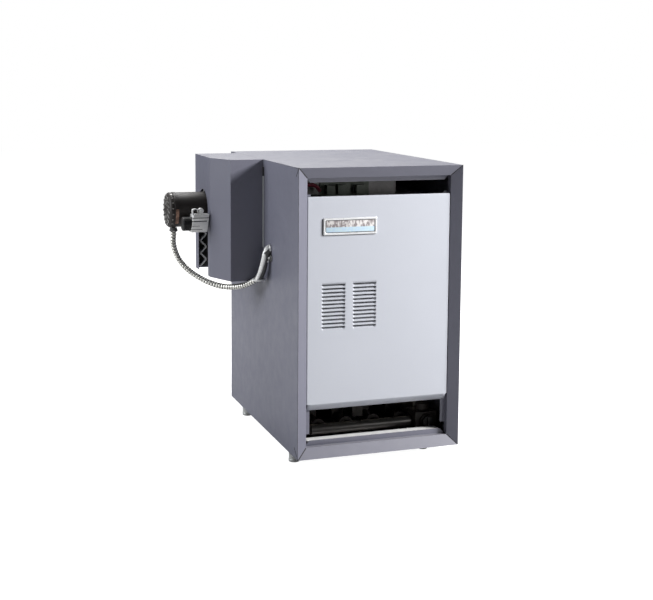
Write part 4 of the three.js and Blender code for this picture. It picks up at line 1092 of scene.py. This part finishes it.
def make_stage(settings):
    """Pale floor, four soft lights and an even surrounding light.

    Each light looks at the boiler's middle from a distance in metres, an azimuth counted
    from the boiler's front towards its right and an elevation, both in degrees.
    """
    link = bpy.context.scene.collection.objects.link
    half = 12.0
    mesh = bpy.data.meshes.new("studio_floor")
    mesh.from_pydata([(-half, -half, 0), (half, -half, 0), (half, half, 0), (-half, half, 0)], [],
                     [(0, 1, 2, 3)])
    material = bpy.data.materials.new("studio floor")
    tree = empty_tree(material)
    paper = add(tree, "BsdfDiffuse", {"Color": (0.45, 0.45, 0.45, 1)})
    glow = add(tree, "Emission", {"Strength": maths(
        tree, "MULTIPLY", add(tree, "LightPath").outputs["Is Camera Ray"], settings.floor_glow)})
    both = add(tree, "AddShader", {0: paper.outputs[0], 1: glow.outputs[0]})
    add(tree, "OutputMaterial", {"Surface": both.outputs[0]})
    mesh.materials.append(material)
    floor = bpy.data.objects.new("studio_floor", mesh)
    link(floor)

    middle = 0.4
    for name, azimuth, elevation, distance, width, height, power, colour in (
            ("key_light", 56, 30, 3.6, 0.8, 0.8, settings.key_power, (1, 0.99, 0.97)),
            ("fill_light", -100, 22, 3.4, 2.4, 2.0, settings.fill_power, (0.95, 0.97, 1)),
            ("front_light", 30, 6, 3.6, 1.0, 1.0, settings.front_power, (1, 1, 1)),
            ("back_light", 180, 55, 3.4, 2.0, 2.0, settings.back_power, (1, 1, 1))):
        data = bpy.data.lights.new(name, "AREA")
        data.shape, data.size, data.size_y = "RECTANGLE", width, height
        data.energy, data.color = power, colour
        side, rise = math.radians(azimuth), math.radians(elevation)
        outward = Vector((math.sin(side) * math.cos(rise), -math.cos(side) * math.cos(rise), math.sin(rise)))
        light = bpy.data.objects.new(name, data)
        light.location = Vector((0, 0, middle)) + distance * outward
        light.rotation_euler = (-outward).to_track_quat("-Z", "Y").to_euler()
        link(light)

    world = bpy.data.worlds.new("studio_surroundings")
    tree = empty_tree(world)
    lit = add(tree, "Background", {"Color": (0.95, 0.97, 1, 1), "Strength": settings.ambient})
    seen = add(tree, "Background", {"Color": (1, 1, 1, 1), "Strength": 1.0})
    chosen = add(tree, "MixShader", {0: add(tree, "LightPath").outputs["Is Camera Ray"],
                                     1: lit.outputs[0], 2: seen.outputs[0]})
    add(tree, "OutputWorld", {"Surface": chosen.outputs[0]})
    bpy.context.scene.world = world
    bpy.context.scene.view_settings.view_transform = "Standard"
    bpy.context.scene.view_settings.look = "None"


# ------------------------------------------------------------------ operators


class BOILER_OT_camera(bpy.types.Operator):
    """Place the camera at the product view"""
    bl_idname = "boiler.camera"
    bl_label = "Camera"

    def execute(self, context):
        place_camera()
        return {"FINISHED"}


class BOILER_OT_finishes(bpy.types.Operator):
    """Make the shader groups and every finish"""
    bl_idname = "boiler.finishes"
    bl_label = "Finishes"

    def execute(self, context):
        make_finishes()
        return {"FINISHED"}


class BOILER_OT_conduit(bpy.types.Operator):
    """Make the armoured conduit from the motor to the wall elbow"""
    bl_idname = "boiler.conduit"
    bl_label = "Armoured Conduit"

    def execute(self, context):
        make_conduit(context.scene.boiler_conduit)
        make_conduit_fittings()
        return {"FINISHED"}


class BOILER_OT_jacket(bpy.types.Operator):
    """Make the jacket's sheets and its feet"""
    bl_idname = "boiler.jacket"
    bl_label = "Jacket and Feet"

    def execute(self, context):
        carry("jacket")
        make_seams()
        make_feet()
        return {"FINISHED"}


class BOILER_OT_door(bpy.types.Operator):
    """Make the louvred door and its blank nameplate"""
    bl_idname = "boiler.door"
    bl_label = "Louvred Door"

    def execute(self, context):
        make_door(context.scene.boiler_door)
        make_nameplate()
        return {"FINISHED"}


class BOILER_OT_inducer(bpy.types.Operator):
    """Make the draft inducer, its cover, its motor and the motor's wiring"""
    bl_idname = "boiler.inducer"
    bl_label = "Draft Inducer"

    def execute(self, context):
        carry("inducer")
        make_brace_and_shade_sheet()
        make_motor()
        make_motor_wiring()
        return {"FINISHED"}


class BOILER_OT_heat_exchanger(bpy.types.Operator):
    """Make the cast-iron sections, the flue collector, the chamber and the water pipes"""
    bl_idname = "boiler.heat_exchanger"
    bl_label = "Heat Exchanger"

    def execute(self, context):
        carry("heat exchanger")
        return {"FINISHED"}


class BOILER_OT_gas_train(bpy.types.Operator):
    """Make the burners, the gas manifold and the gas valve"""
    bl_idname = "boiler.gas_train"
    bl_label = "Burners and Gas Train"

    def execute(self, context):
        carry("gas train")
        make_grommet()
        return {"FINISHED"}


class BOILER_OT_controls(bpy.types.Operator):
    """Make the controls and wires behind the door"""
    bl_idname = "boiler.controls"
    bl_label = "Controls"

    def execute(self, context):
        carry("controls")
        paint_loom()
        return {"FINISHED"}


class BOILER_OT_stage(bpy.types.Operator):
    """Make the floor, the lights and the surroundings"""
    bl_idname = "boiler.stage"
    bl_label = "Stage"

    def execute(self, context):
        make_stage(context.scene.boiler_stage)
        return {"FINISHED"}


OPERATORS = (BOILER_OT_camera, BOILER_OT_finishes, BOILER_OT_conduit, BOILER_OT_jacket, BOILER_OT_door,
             BOILER_OT_inducer, BOILER_OT_heat_exchanger, BOILER_OT_gas_train, BOILER_OT_controls,
             BOILER_OT_stage)


class BOILER_PT_panel(bpy.types.Panel):
    """Every piece of the boiler, with the sizes and colours that can be changed"""
    bl_label = "Gas Boiler"
    bl_idname = "BOILER_PT_panel"
    bl_space_type = "VIEW_3D"
    bl_region_type = "UI"
    bl_category = "Boiler"

    def draw(self, context):
        """Every setting in its box, then a button for every operator."""
        for attribute, settings in SETTINGS.items():
            box = self.layout.box()
            for field in settings.__annotations__:
                box.prop(getattr(context.scene, attribute), field)
        for operator in OPERATORS:
            self.layout.operator(operator.bl_idname)


def register():
    """Make the settings, the operators and the panel known."""
    for settings in SETTINGS.values():
        bpy.utils.register_class(settings)
    for attribute, settings in SETTINGS.items():
        setattr(bpy.types.Scene, attribute, bpy.props.PointerProperty(type=settings))
    for made in (*OPERATORS, BOILER_PT_panel):
        bpy.utils.register_class(made)


def unregister():
    """Take the panel, the operators and the settings away again."""
    for made in reversed((*OPERATORS, BOILER_PT_panel)):
        bpy.utils.unregister_class(made)
    for attribute, settings in SETTINGS.items():
        delattr(bpy.types.Scene, attribute)
        bpy.utils.unregister_class(settings)


def main():
    """Build the whole boiler."""
    register()
    for operator in OPERATORS:
        getattr(bpy.ops.boiler, operator.bl_idname.split(".")[1])()


if __name__ == "__main__":
    main()
